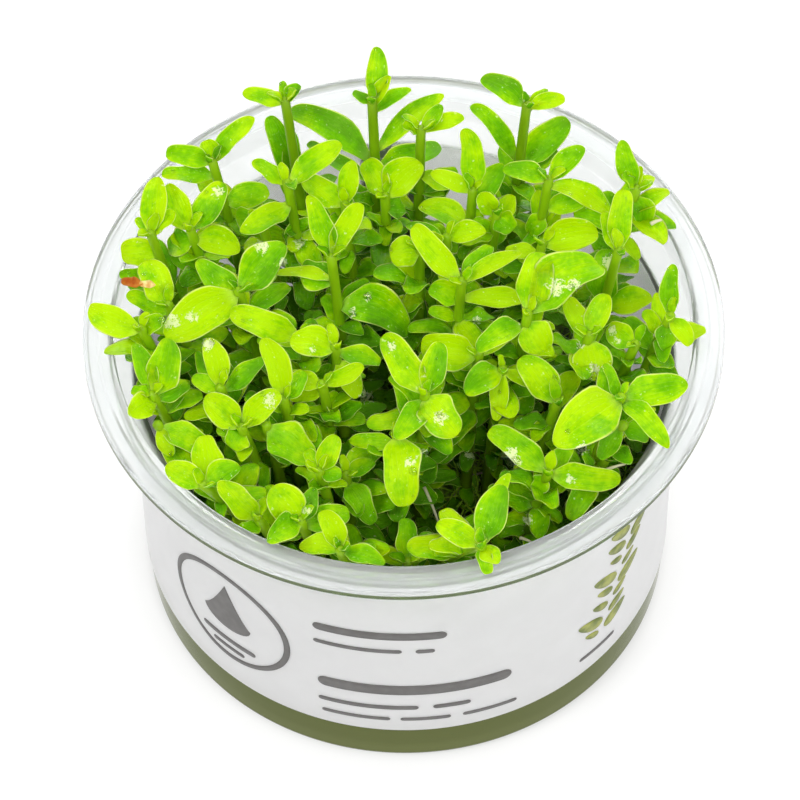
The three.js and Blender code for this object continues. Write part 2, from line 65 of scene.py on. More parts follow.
def smooth(low: float, high: float, value: float | np.ndarray) -> np.ndarray:
    """Rise smoothly from nought at the low value to one at the high one."""
    share = np.clip((value - low) / (high - low), 0.0, 1.0)
    return share * share * (3.0 - 2.0 * share)


@dataclass
class Draws:
    """Repeatable random numbers, the same in every run."""

    state: int
    factor: ClassVar[int] = 1664525
    shift: ClassVar[int] = 1013904223
    span: ClassVar[int] = 2**32

    def between(self, low: float = 0.0, high: float = 1.0) -> float:
        """Draw the next number from low up to high."""
        self.state = (self.state * self.factor + self.shift) % self.span
        return low + (high - low) * (self.state / self.span)


@dataclass(frozen=True)
class Sight:
    """The line of sight that the photograph was taken along, over a square frame of 800 steps."""

    elevation: float = math.radians(54.73)
    distance: float = 800.0
    focal: float = 5033.0
    roll: float = math.radians(-0.88)
    target: tuple[float, float, float] = (-0.71, 0.0, 39.3)
    frame_size: float = 800.0
    sensor: float = 36.0
    clip: tuple[float, float] = (0.01, 20.0)

    @property
    def back(self) -> np.ndarray:
        """Direction from the plant to the viewer."""
        return np.array([0.0, -math.cos(self.elevation), math.sin(self.elevation)])

    @property
    def upward(self) -> np.ndarray:
        """Direction that is up in the frame before its roll."""
        return np.array([0.0, math.sin(self.elevation), math.cos(self.elevation)])

    @property
    def eye(self) -> np.ndarray:
        """Place of the viewer."""
        return np.array(self.target) + self.back * self.distance

    def point(self, across: float, down: float, height: float) -> np.ndarray:
        """Find the point behind a place in the frame.

        Args:
            across: the place's distance from the frame's left side.
            down: its distance from the top.
            height: the height of the point wanted.

        Returns:
            The point at that height.
        """
        right, below = across - self.frame_size / 2, down - self.frame_size / 2
        cosine, sine = math.cos(self.roll), math.sin(self.roll)
        direction = -self.back
        direction[0] += (cosine * right + sine * below) / self.focal
        direction += self.upward * (-(cosine * below - sine * right) / self.focal)
        return self.eye + direction * ((height - self.eye[2]) / direction[2])

    def place(self, points: np.ndarray) -> np.ndarray:
        """Find where points lie in the frame.

        Args:
            points: rows of points.

        Returns:
            Rows of (across, down).
        """
        offset = np.atleast_2d(points) - self.eye
        depth = offset @ -self.back
        right = self.focal * offset[:, 0] / depth
        below = -self.focal * (offset @ self.upward) / depth
        cosine, sine = math.cos(self.roll), math.sin(self.roll)
        placed = np.stack([cosine * right - sine * below, sine * right + cosine * below], -1)
        return placed + self.frame_size / 2

    def add_camera(self) -> None:
        """Make the camera and look through it."""
        lens = bpy.data.cameras.new("camera")
        lens.sensor_width = self.sensor
        lens.lens = self.sensor * self.focal / self.frame_size
        lens.clip_start, lens.clip_end = self.clip
        camera = place_object("camera", lens)
        cosine, sine = math.cos(self.roll), math.sin(self.roll)
        axes = [
            Vector((cosine, *(sine * self.upward[1:]))),
            Vector((-sine, *(cosine * self.upward[1:]))),
            Vector(self.back),
        ]
        turn = Matrix([[axis[row] for axis in axes] for row in range(3)]).to_4x4()
        camera.matrix_world = Matrix.Translation(Vector(self.eye * MM)) @ turn
        bpy.context.scene.camera = camera


def place_object(name: str, data: bpy.types.ID) -> bpy.types.Object:
    """Put an object into the scene.

    Args:
        name: its name.
        data: its mesh, camera or light.

    Returns:
        The object, at the origin.
    """
    piece = bpy.data.objects.new(name, data)
    bpy.context.scene.collection.objects.link(piece)
    return piece


@dataclass
class Draft:
    """Points, faces and values gathered for one mesh, in millimetres."""

    points: list[np.ndarray] = field(default_factory=list)
    faces: list[tuple[int, ...]] = field(default_factory=list)
    slots: list[int] = field(default_factory=list)
    uvs: list[tuple[float, float]] = field(default_factory=list)
    tones: list[np.ndarray] = field(default_factory=list)
    ages: list[np.ndarray] = field(default_factory=list)
    count: int = 0

    def add_points(self, points: np.ndarray, tone: float = 0.5, age: float = 0.5) -> int:
        """Add points.

        Args:
            points: rows of points.
            tone: a value from nought to one that lightens or darkens them.
            age: a value from nought for young to one for old, which on leaves also carries painted shade.

        Returns:
            The index of the first.
        """
        start = self.count
        self.points.append(points)
        self.tones.append(np.full(len(points), tone))
        self.ages.append(np.full(len(points), age))
        self.count += len(points)
        return start

    def add_ring(self, points: np.ndarray) -> np.ndarray:
        """Add a closed ring of points and give their indices, with the first again at the end."""
        start = self.add_points(points)
        return np.append(np.arange(start, start + len(points)), start)

    def add_pole(self, height: float, steps: int) -> np.ndarray:
        """Add a point on the Z axis and give its index once for each point of a closed ring."""
        return np.full(steps + 1, self.add_points(np.array([[0.0, 0.0, height]])))

    def add_face(self, corners: Sequence[int], uvs: Sequence[tuple[float, float]], slot: int = 0) -> None:
        """Add one face.

        Args:
            corners: the point indices.
            uvs: one place in the map for each corner.
            slot: the material slot.
        """
        self.faces.append(tuple(corners))
        self.uvs.extend(uvs)
        self.slots.append(slot)

    def add_end(self, corners: np.ndarray, slot: int = 0) -> None:
        """Close an open end with one face."""
        self.add_face([int(corner) for corner in corners], [(0.5, 0.5)] * len(corners), slot)

    def add_sheet(self, rows: Sequence[np.ndarray], across: Sequence[float] | None = None,
                  along: Sequence[float] | None = None, slot: int = 0, flip: bool = False) -> np.ndarray:
        """Add quads between rows of points that are already there.

        Args:
            rows: point indices, row by row.
            across: the map place of each column, evenly spread if not given.
            along: the map place of each row, evenly spread if not given.
            slot: the material slot.
            flip: turn the faces round.

        Returns:
            The indices as a grid.
        """
        index = np.array(rows)
        across = np.linspace(0, 1, index.shape[1]) if across is None else across
        along = np.linspace(0, 1, len(index)) if along is None else along
        for i in range(index.shape[0] - 1):
            for j in range(index.shape[1] - 1):
                corners = [(i, j), (i, j + 1), (i + 1, j + 1), (i + 1, j)]
                if flip:
                    corners.reverse()
                names = [int(index[a, b]) for a, b in corners]
                spots = [(float(across[b]), float(along[a])) for a, b in corners]
                kept = [k for k in range(4) if names[k] != names[k - 1]]
                if len(kept) > 2:
                    self.add_face([names[k] for k in kept], [spots[k] for k in kept], slot)
        return index

    def build(self, name: str, materials: Sequence[bpy.types.Material],
              wet_and_glare: np.ndarray | None = None) -> bpy.types.Object:
        """Make the object.

        Args:
            name: the piece's name.
            materials: its material slots.
            wet_and_glare: how far each point lies in a water patch, which carries painted glare; dry if not
                given.

        Returns:
            A smooth-shaded object at the origin.
        """
        mesh = bpy.data.meshes.new(name)
        mesh.from_pydata((np.concatenate(self.points) * MM).tolist(), [], self.faces)
        for material in materials:
            mesh.materials.append(material)
        mesh.polygons.foreach_set("material_index", self.slots)
        mesh.polygons.foreach_set("use_smooth", [True] * len(self.faces))
        mesh.uv_layers.new(name="surface").data.foreach_set("uv", np.array(self.uvs, dtype=float).ravel())
        values = {"tone": np.concatenate(self.tones), "age": np.concatenate(self.ages)}
        if wet_and_glare is not None:
            values["wet_and_glare"] = wet_and_glare
        for key, numbers in values.items():
            mesh.attributes.new(key, "FLOAT", "POINT").data.foreach_set("value", numbers)
        mesh.update()
        return place_object(name, mesh)


def mend(piece: bpy.types.Object, distance: float = 1e-7) -> bpy.types.Object:
    """Join points that lie on each other and turn the faces outward.

    Args:
        piece: the object to mend.
        distance: how far apart joined points may be, in metres.

    Returns:
        The same object.
    """
    work = bmesh.new()
    work.from_mesh(piece.data)
    bmesh.ops.remove_doubles(work, verts=work.verts, dist=distance)
    bmesh.ops.recalc_face_normals(work, faces=work.faces)
    work.to_mesh(piece.data)
    work.free()
    piece.data.update()
    return piece


def fasten(piece: bpy.types.Object, slot: str, *nodes: str) -> None:
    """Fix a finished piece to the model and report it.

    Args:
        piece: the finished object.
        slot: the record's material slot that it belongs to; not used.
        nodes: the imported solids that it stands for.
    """
    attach(piece, BODY)
    if nodes:
        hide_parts(*nodes)
    LOG.info("%s: %d faces", piece.name, len(piece.data.polygons))


def circle(radius: float, steps: int) -> tuple[np.ndarray, np.ndarray]:
    """Give the X and Y of points round a circle."""
    angles = np.linspace(0, TURN, steps, endpoint=False)
    return radius * np.cos(angles), radius * np.sin(angles)


def rounded(corners: Sequence[tuple[float, float, float]], steps: int = 4) -> list[tuple[float, float]]:
    """Round the corners of a profile.

    Args:
        corners: (radius, height, fillet) in order.
        steps: the number of stretches in each fillet.

    Returns:
        The profile's points.
    """
    profile: list[tuple[float, float]] = []
    for i, (radius, height, fillet) in enumerate(corners):
        if fillet <= 0:
            profile.append((radius, height))
            continue
        here = np.array([radius, height])
        back = unit(np.array(corners[i - 1][:2]) - here)
        ahead = unit(np.array(corners[(i + 1) % len(corners)][:2]) - here)
        half = math.acos(float(np.clip(back @ ahead, -1, 1))) / 2
        reach = fillet / math.tan(half)
        start, end = here + back * reach, here + ahead * reach
        for step in range(steps + 1):
            share = step / steps
            bend = (1 - share) ** 2 * start + 2 * share * (1 - share) * here + share**2 * end
            profile.append((float(bend[0]), float(bend[1])))
    return profile


def turned(name: str, profile: Sequence[tuple[float, float]], material: bpy.types.Material,
           segments: int) -> bpy.types.Object:
    """Turn a closed profile round the Z axis.

    Args:
        name: the piece's name.
        profile: (radius, height) points, of which the first and last lie on the axis.
        material: its material.
        segments: the number of steps round.

    Returns:
        A closed, smooth-shaded object.
    """
    draft = Draft()
    rows = [draft.add_pole(profile[0][1], segments)]
    for radius, height in profile[1:-1]:
        rows.append(draft.add_ring(np.stack([*circle(radius, segments), np.full(segments, height)], -1)))
    rows.append(draft.add_pole(profile[-1][1], segments))
    draft.add_sheet(rows)
    return mend(draft.build(name, [material]))


# Finishes


Colour = tuple[float, float, float]
Band = tuple[float, float]


@dataclass(frozen=True)
class Signal:
    """One output of a node, so that sums of nodes are written as sums."""

    sheet: NodeSheet
    socket: bpy.types.NodeSocket

    def __add__(self, other: Signal | float) -> Signal:
        """Add a signal or a number."""
        return self.sheet.maths("ADD", self, other)

    def __sub__(self, other: Signal | float) -> Signal:
        """Take a signal or a number away."""
        return self.sheet.maths("SUBTRACT", self, other)

    def __mul__(self, other: Signal | float) -> Signal:
        """Multiply by a signal or a number."""
        return self.sheet.maths("MULTIPLY", self, other)

    def __abs__(self) -> Signal:
        """Drop the sign."""
        return self.sheet.maths("ABSOLUTE", self)

    def most(self, other: Signal | float) -> Signal:
        """Take the larger of two."""
        return self.sheet.maths("MAXIMUM", self, other)

    def band(self, low: float, high: float) -> Signal:
        """Rise smoothly from nought at the low value to one at the high one."""
        limits = {"Value": self, "From Min": low, "From Max": high}
        return self.sheet.add("ShaderNodeMapRange", limits, "Result", interpolation_type="SMOOTHSTEP")

    def split(self) -> list[Signal]:
        """Take the three parts of a place."""
        node = self.sheet.node("ShaderNodeSeparateXYZ", {0: self})
        return [Signal(self.sheet, socket) for socket in node.outputs]


@dataclass(frozen=True)
class Pattern:
    """Soft noise: its fineness per metre, its finer layers and how strongly it shows."""

    scale: float
    detail: float
    strength: float = 1.0


class NodeSheet:
    """A node tree, with short ways to add its nodes and join them."""

    def __init__(self, tree: bpy.types.NodeTree) -> None:
        """Work on a tree."""
        self.tree = tree

    def join(self, source: object, target: bpy.types.NodeSocket) -> None:
        """Feed a socket.

        Args:
            source: a signal, or a value to set.
            target: the socket to feed.
        """
        if isinstance(source, Signal):
            self.tree.links.new(source.socket, target)
        else:
            target.default_value = (*source, 1.0) if target.type == "RGBA" else source

    def node(self, kind: str, inputs: dict[str | int, object], **settings: object) -> bpy.types.Node:
        """Add a node and feed it.

        Args:
            kind: its type name.
            inputs: signals or values by input name or number.
            settings: its properties.

        Returns:
            The node.
        """
        node = self.tree.nodes.new(kind)
        for name, value in settings.items():
            setattr(node, name, value)
        for name, value in inputs.items():
            self.join(value, node.inputs[name])
        return node

    def add(self, kind: str, inputs: dict[str | int, object], output: str | int = 0,
            **settings: object) -> Signal:
        """Add a node as node() does and take one of its outputs, by name or number."""
        return Signal(self, self.node(kind, inputs, **settings).outputs[output])

    def maths(self, operation: str, first: object, second: object = 0.0, clamp: bool = False) -> Signal:
        """Add a sum of two signals or numbers, kept from nought to one if clamped."""
        return self.add("ShaderNodeMath", {0: first, 1: second}, operation=operation, use_clamp=clamp)

    def vector(self, **parts: object) -> Signal:
        """Put a vector together from its X, Y and Z."""
        return self.add("ShaderNodeCombineXYZ", parts)


class Shading(NodeSheet):
    """A material's node tree."""

    def __init__(self, name: str) -> None:
        """Start a material.

        Args:
            name: the finish's name.
        """
        self.material = bpy.data.materials.new(name)
        self.material.use_nodes = True
        super().__init__(self.material.node_tree)
        self.surface = self.tree.nodes["Principled BSDF"]

    def fix(self, **values: float | Colour | Signal) -> None:
        """Set or feed the shader's sockets, with underscores for the spaces in their names."""
        for name, value in values.items():
            self.join(value, self.surface.inputs[name.replace("_", " ")])

    def value(self, name: str) -> Signal:
        """Read a value kept on the mesh's points."""
        return self.add("ShaderNodeAttribute", {}, "Fac", attribute_name=name)

    def place(self, output: str = "Object") -> Signal:
        """Read a place in the object, or in its map for UV."""
        return self.add("ShaderNodeTexCoord", {}, output)

    def noise(self, pattern: Pattern, where: Signal | None = None, upright: float = 1.0) -> Signal:
        """Add soft noise.

        Args:
            pattern: its fineness and finer layers.
            where: where it is read, Object coordinates if not given.
            upright: its fineness along Z against X and Y.

        Returns:
            Values round a half.
        """
        where = where or self.place()
        if upright != 1.0:
            where = self.add("ShaderNodeMapping", {"Vector": where, "Scale": (1.0, 1.0, upright)})
        inputs = {"Vector": where, "Scale": pattern.scale, "Detail": pattern.detail}
        return self.add("ShaderNodeTexNoise", inputs, "Fac")

    def swing(self, pattern: Pattern, upright: float = 1.0) -> Signal:
        """Add noise that swings round nought as strongly as its pattern says."""
        return (self.noise(pattern, upright=upright) - 0.5) * pattern.strength

    def patches(self, pattern: Pattern, band: Band) -> Signal:
        """Add patches of one, as strong as the pattern says, where its noise passes a band."""
        return self.noise(pattern).band(*band) * pattern.strength

    def ramp(self, factor: Signal, stops: Sequence[tuple[float, Colour]]) -> Signal:
        """Look a colour up along a ramp.

        Args:
            factor: where to look.
            stops: (place, colour) pairs.

        Returns:
            The colour.
        """
        node = self.node("ShaderNodeValToRGB", {"Fac": factor})
        elements = node.color_ramp.elements
        while len(elements) < len(stops):
            elements.new(0.5)
        for element, (spot, colour) in zip(elements, stops):
            element.position = spot
            element.color = (*colour, 1.0)
        return Signal(self, node.outputs["Color"])

    def blend(self, share: Signal, first: Signal | Colour, second: Signal | Colour) -> Signal:
        """Mix two colours, with a share of the second."""
        return self.add("ShaderNodeMix", {0: share, 6: first, 7: second}, 2, data_type="RGBA")

    def bump(self, height: Signal, distance: float, strength: float = 0.6) -> None:
        """Raise the surface by a pattern, to a height in metres."""
        inputs = {"Height": height, "Distance": distance, "Strength": strength}
        self.fix(Normal=self.add("ShaderNodeBump", inputs))


@dataclass(frozen=True)
class LeafFinish:
    """Fleshy, waxy leaf: yellow-green when young, deeper when old, with long veins.

    Painted shade darkens leaves low in the cup, at the far side and at the right in front, and one side of
    each midrib. A painted rim light lightens the margin, and painted sparkle, glints and glare whiten specks
    and the water film.
    """

    name: str = "bacopa_leaf"
    young: Colour = (0.44, 0.74, 0.0)
    grown: Colour = (0.235, 0.56, 0.0)
    old: Colour = (0.13, 0.42, 0.0)
    shaded: Colour = (0.105, 0.33, 0.005)
    stages: tuple[float, ...] = (0.0, 0.38, 0.72, 1.0)
    # Pale colour of the veins and the leaf's foot, also used for the painted rim light and painted sparkle.
    margin: Colour = (0.78, 0.99, 0.22)
    # Painted reflection: the whitish glare of the water film and of the glints.
    wet_glare: Colour = (0.86, 0.97, 0.50)
    sheen: Colour = (0.72, 1.0, 0.20)
    lane_scales: tuple[float, float, float] = (17.0, 4.0, 60.0)
    streaks: Pattern = Pattern(1.0, 3, 0.45)
    blotches: Pattern = Pattern(230, 3, 1.7)
    cells: Pattern = Pattern(1200, 2, 0.55)
    # Painted shade: one side of each midrib darker than the other.
    side_shade: float = 1.7
    tone_spread: float = 0.85
    vein_count: float = 7.0
    vein_height: float = 0.00005
    vein_share: float = 0.05
    foot_share: float = 0.35
    # Pale specks: a fine grain and a painted sparkle.
    sparkle_grains: Pattern = Pattern(2300, 1, 0.35)
    speckle: Pattern = Pattern(1500, 4, 1.5)
    threads: Pattern = Pattern(1900, 2)
    # Painted glints: sparse pale flecks on every leaf.
    glints: Pattern = Pattern(1100, 2, 0.6)
    glare_share: float = 0.9
    dull_patches: Pattern = Pattern(160, 2, 0.16)
    roughness: float = 0.18
    wet_polish: float = 0.22
    lumps: Pattern = Pattern(900, 3, 5.0)
    streak_height: float = 3.0
    film_height: float = 2.0
    relief: float = 0.7
    translucency: float = 0.35
    depth: float = 0.0016
    scatter: Colour = (0.9, 1.0, 0.15)
    gloss: float = 0.25
    web_edge: Band = (0.11, 0.04)
    pool_edge: Band = (0.8, 0.95)
    film_edge: Band = (0.58, 0.75)
    glint_edge: Band = (0.70, 0.78)
    vein_edge: Band = (0.35, 0.0)
    rim_light_edge: Band = (0.45, 0.487)
    rim_light_breaks: Band = (0.25, 0.6)
    foot_edge: Band = (0.22, 0.0)
    sparkle_edge: Band = (0.62, 0.72)
    sparkle_breaks: Band = (0.45, 0.7)

    def wetness_and_glare(self, sheet: Shading) -> Signal:
        """Make the ragged water film and scattered glints, both whitened by painted reflection.

        Args:
            sheet: the leaf's material.

        Returns:
            Nought for dry to one where the film and its painted glare are full.
        """
        ragged = sheet.value("wet_and_glare") + sheet.swing(self.speckle, 0.6)
        thread = abs(sheet.noise(self.threads) - 0.5)
        web = thread.band(*self.web_edge).most(ragged.band(*self.pool_edge))
        return (ragged.band(*self.film_edge) * web).most(sheet.patches(self.glints, self.glint_edge))

    def material(self) -> bpy.types.Material:
        """Build the material.

        Returns:
            The finish.
        """
        sheet = Shading(self.name)
        across, along, _ = sheet.place("UV").split()
        tone = sheet.value("tone")
        lanes = [part * scale for part, scale in zip((across, along, tone), self.lane_scales)]
        streak = sheet.noise(self.streaks, sheet.vector(**dict(zip("XYZ", lanes))))
        # The mottle also carries painted shade on one side of each midrib.
        mottle = sheet.swing(self.blotches) + (across - 0.5) * (tone - 0.5) * self.side_shade
        mottle = mottle + (streak - 0.5) * self.streaks.strength + sheet.swing(self.cells)
        # This value mixes how old the leaf is with painted shade.
        age = sheet.value("age") - (tone - 0.5) * self.tone_spread
        age = sheet.maths("ADD", age, mottle, clamp=True)
        body = sheet.ramp(age, list(zip(self.stages, (self.young, self.grown, self.old, self.shaded))))
        vein = abs(sheet.maths("SINE", across * (math.pi * self.vein_count))).band(*self.vein_edge)
        # Painted rim light: a pale line along the margin, broken by the streaks.
        rim = abs(across - 0.5).band(*self.rim_light_edge) * streak.band(*self.rim_light_breaks)
        foot = along.band(*self.foot_edge) * self.foot_share
        # Painted sparkle: fine pale specks, broken by the streaks.
        grain = sheet.patches(self.sparkle_grains, self.sparkle_edge) * streak.band(*self.sparkle_breaks)
        for share in (vein * self.vein_share, rim, foot, grain):
            body = sheet.blend(share, body, self.margin)
        wet_and_glare = self.wetness_and_glare(sheet)
        dull = sheet.noise(self.dull_patches) * self.dull_patches.strength + self.roughness
        relief = sheet.noise(self.lumps) * self.lumps.strength - vein + streak * self.streak_height
        sheet.bump(relief + wet_and_glare * self.film_height, self.vein_height, self.relief)
        # Painted reflection: the water film and the glints are whitened towards the glare colour.
        sheet.fix(Base_Color=sheet.blend(wet_and_glare * self.glare_share, body, self.wet_glare),
                  Roughness=dull - wet_and_glare * self.wet_polish, Subsurface_Weight=self.translucency,
                  Subsurface_Radius=self.scatter, Subsurface_Scale=self.depth,
                  Specular_IOR_Level=self.gloss, Specular_Tint=self.sheen)
        return sheet.material


@dataclass(frozen=True)
class StemFinish:
    """Juicy pale green stem, browner towards its foot, with painted shade on the far side."""

    name: str = "bacopa_stem"
    tip: Colour = (0.28, 0.51, 0.004)
    foot: Colour = (0.13, 0.24, 0.004)
    rise: Band = (0.018, 0.060)
    far_side: Band = (0.018, 0.034)
    far_shade_share: float = 0.6
    mottle: Pattern = Pattern(700, 3, 0.4)
    stain_edge: Band = (0.45, 0.75)
    relief: float = 0.00008
    roughness: float = 0.35
    translucency: float = 0.3
    scatter: Colour = (0.9, 1.0, 0.2)
    depth: float = 0.002
    gloss: float = 0.25

    def material(self) -> bpy.types.Material:
        """Build the material.

        Returns:
            The finish.
        """
        sheet = Shading(self.name)
        _, far, height = sheet.place().split()
        mottle = sheet.noise(self.mottle, upright=0.2)
        colour = sheet.blend(height.band(*self.rise), self.foot, self.tip)
        # Painted shade: the far side is darkened towards the foot's colour.
        shade = far.band(*self.far_side) * self.far_shade_share
        stain = mottle.band(*self.stain_edge) * self.mottle.strength
        for share in (shade, stain):
            colour = sheet.blend(share, colour, self.foot)
        sheet.bump(mottle, self.relief)
        sheet.fix(Base_Color=colour, Roughness=self.roughness, Subsurface_Weight=self.translucency,
                  Subsurface_Radius=self.scatter, Subsurface_Scale=self.depth, Specular_IOR_Level=self.gloss)
        return sheet.material


@dataclass(frozen=True)
class ClearFinish:
    """Clear glossy moulded plastic, or water.

    Clearness under one leaves some of it cloudy, which milkiness scatters.
    """

    name: str
    tint: Colour
    index: float
    roughness: float = 0.02
    ripple: float = 0.0
    clearness: float = 1.0
    milkiness: float = 0.0
    depth: float = 0.004
    waves: Pattern = Pattern(90, 1)

    def material(self) -> bpy.types.Material:
        """Build the material.

        Returns:
            The finish.
        """
        sheet = Shading(self.name)
        sheet.fix(Base_Color=self.tint, Roughness=self.roughness, IOR=self.index,
                  Transmission_Weight=self.clearness, Subsurface_Weight=self.milkiness,
                  Subsurface_Radius=(1.0, 1.0, 1.0), Subsurface_Scale=self.depth)
        if self.ripple:
            sheet.bump(sheet.noise(self.waves), self.ripple, 0.5)
        return sheet.material


@dataclass(frozen=True)
class PlainFinish:
    """One-coloured finish with a faint mottle: paper, ink, dead leaf or straw."""

    name: str
    colour: Colour
    second: Colour
    roughness: float = 0.5
    grain: float = 300.0
    relief: float = 0.00002
    gloss: float = 0.0
    translucency: float = 0.0
    spread: Colour = (1.0, 0.9, 0.5)
    shine: float = 0.5
    mottle_edge: Band = (0.35, 0.7)
    depth: float = 0.002

    def material(self) -> bpy.types.Material:
        """Build the material.

        Returns:
            The finish.
        """
        sheet = Shading(self.name)
        pattern = sheet.noise(Pattern(self.grain, 3))
        sheet.bump(pattern, self.relief)
        sheet.fix(Base_Color=sheet.blend(pattern.band(*self.mottle_edge), self.colour, self.second),
                  Roughness=self.roughness, Specular_IOR_Level=self.shine, Coat_Weight=self.gloss,
                  Coat_Roughness=0.2, Subsurface_Weight=self.translucency, Subsurface_Radius=self.spread,
                  Subsurface_Scale=self.depth)
        return sheet.material


@dataclass(frozen=True)
class GelFinish:
    """Cloudy olive gel, darker and greener at its foot, with pale flecks."""

    name: str = "nutrient_gel"
    low: Colour = (0.065, 0.09, 0.004)
    high: Colour = (0.12, 0.15, 0.008)
    fleck: Colour = (0.26, 0.29, 0.05)
    rise: Band = (0.002, 0.010)
    clouds: Pattern = Pattern(140, 4, 0.35)
    cloud_edge: Band = (0.4, 0.75)
    roughness: float = 0.35
    translucency: float = 0.3
    scatter: Colour = (0.9, 1.0, 0.4)
    depth: float = 0.003
    gloss: float = 0.2

    def material(self) -> bpy.types.Material:
        """Build the material.

        Returns:
            The finish.
        """
        sheet = Shading(self.name)
        height = sheet.place().split()[2]
        colour = sheet.blend(height.band(*self.rise), self.low, self.high)
        colour = sheet.blend(sheet.patches(self.clouds, self.cloud_edge), colour, self.fleck)
        sheet.fix(Base_Color=colour, Roughness=self.roughness, Subsurface_Weight=self.translucency,
                  Subsurface_Radius=self.scatter, Subsurface_Scale=self.depth, Specular_IOR_Level=self.gloss)
        return sheet.material


# Shoots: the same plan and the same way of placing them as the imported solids


@dataclass(frozen=True)
class ShootPlan:
    """One shoot as read in the frame.

    Attributes:
        at: the place of its top node in the frame.
        height: the height of its top node.
        leaves: for each leaf its drop below the top, its tip across and down the frame, the tip's rise above
            its node, its width, and where given its facing to the viewer and its arch.
    """

    at: tuple[float, float]
    height: float
    leaves: list[tuple[float, ...]]


@dataclass(frozen=True)
class WetGlareSpot:
    """A patch of water film on the leaves, whitened by painted glare: its place in the frame and its reach
    there.
    """

    across: float
    down: float
    reach: float


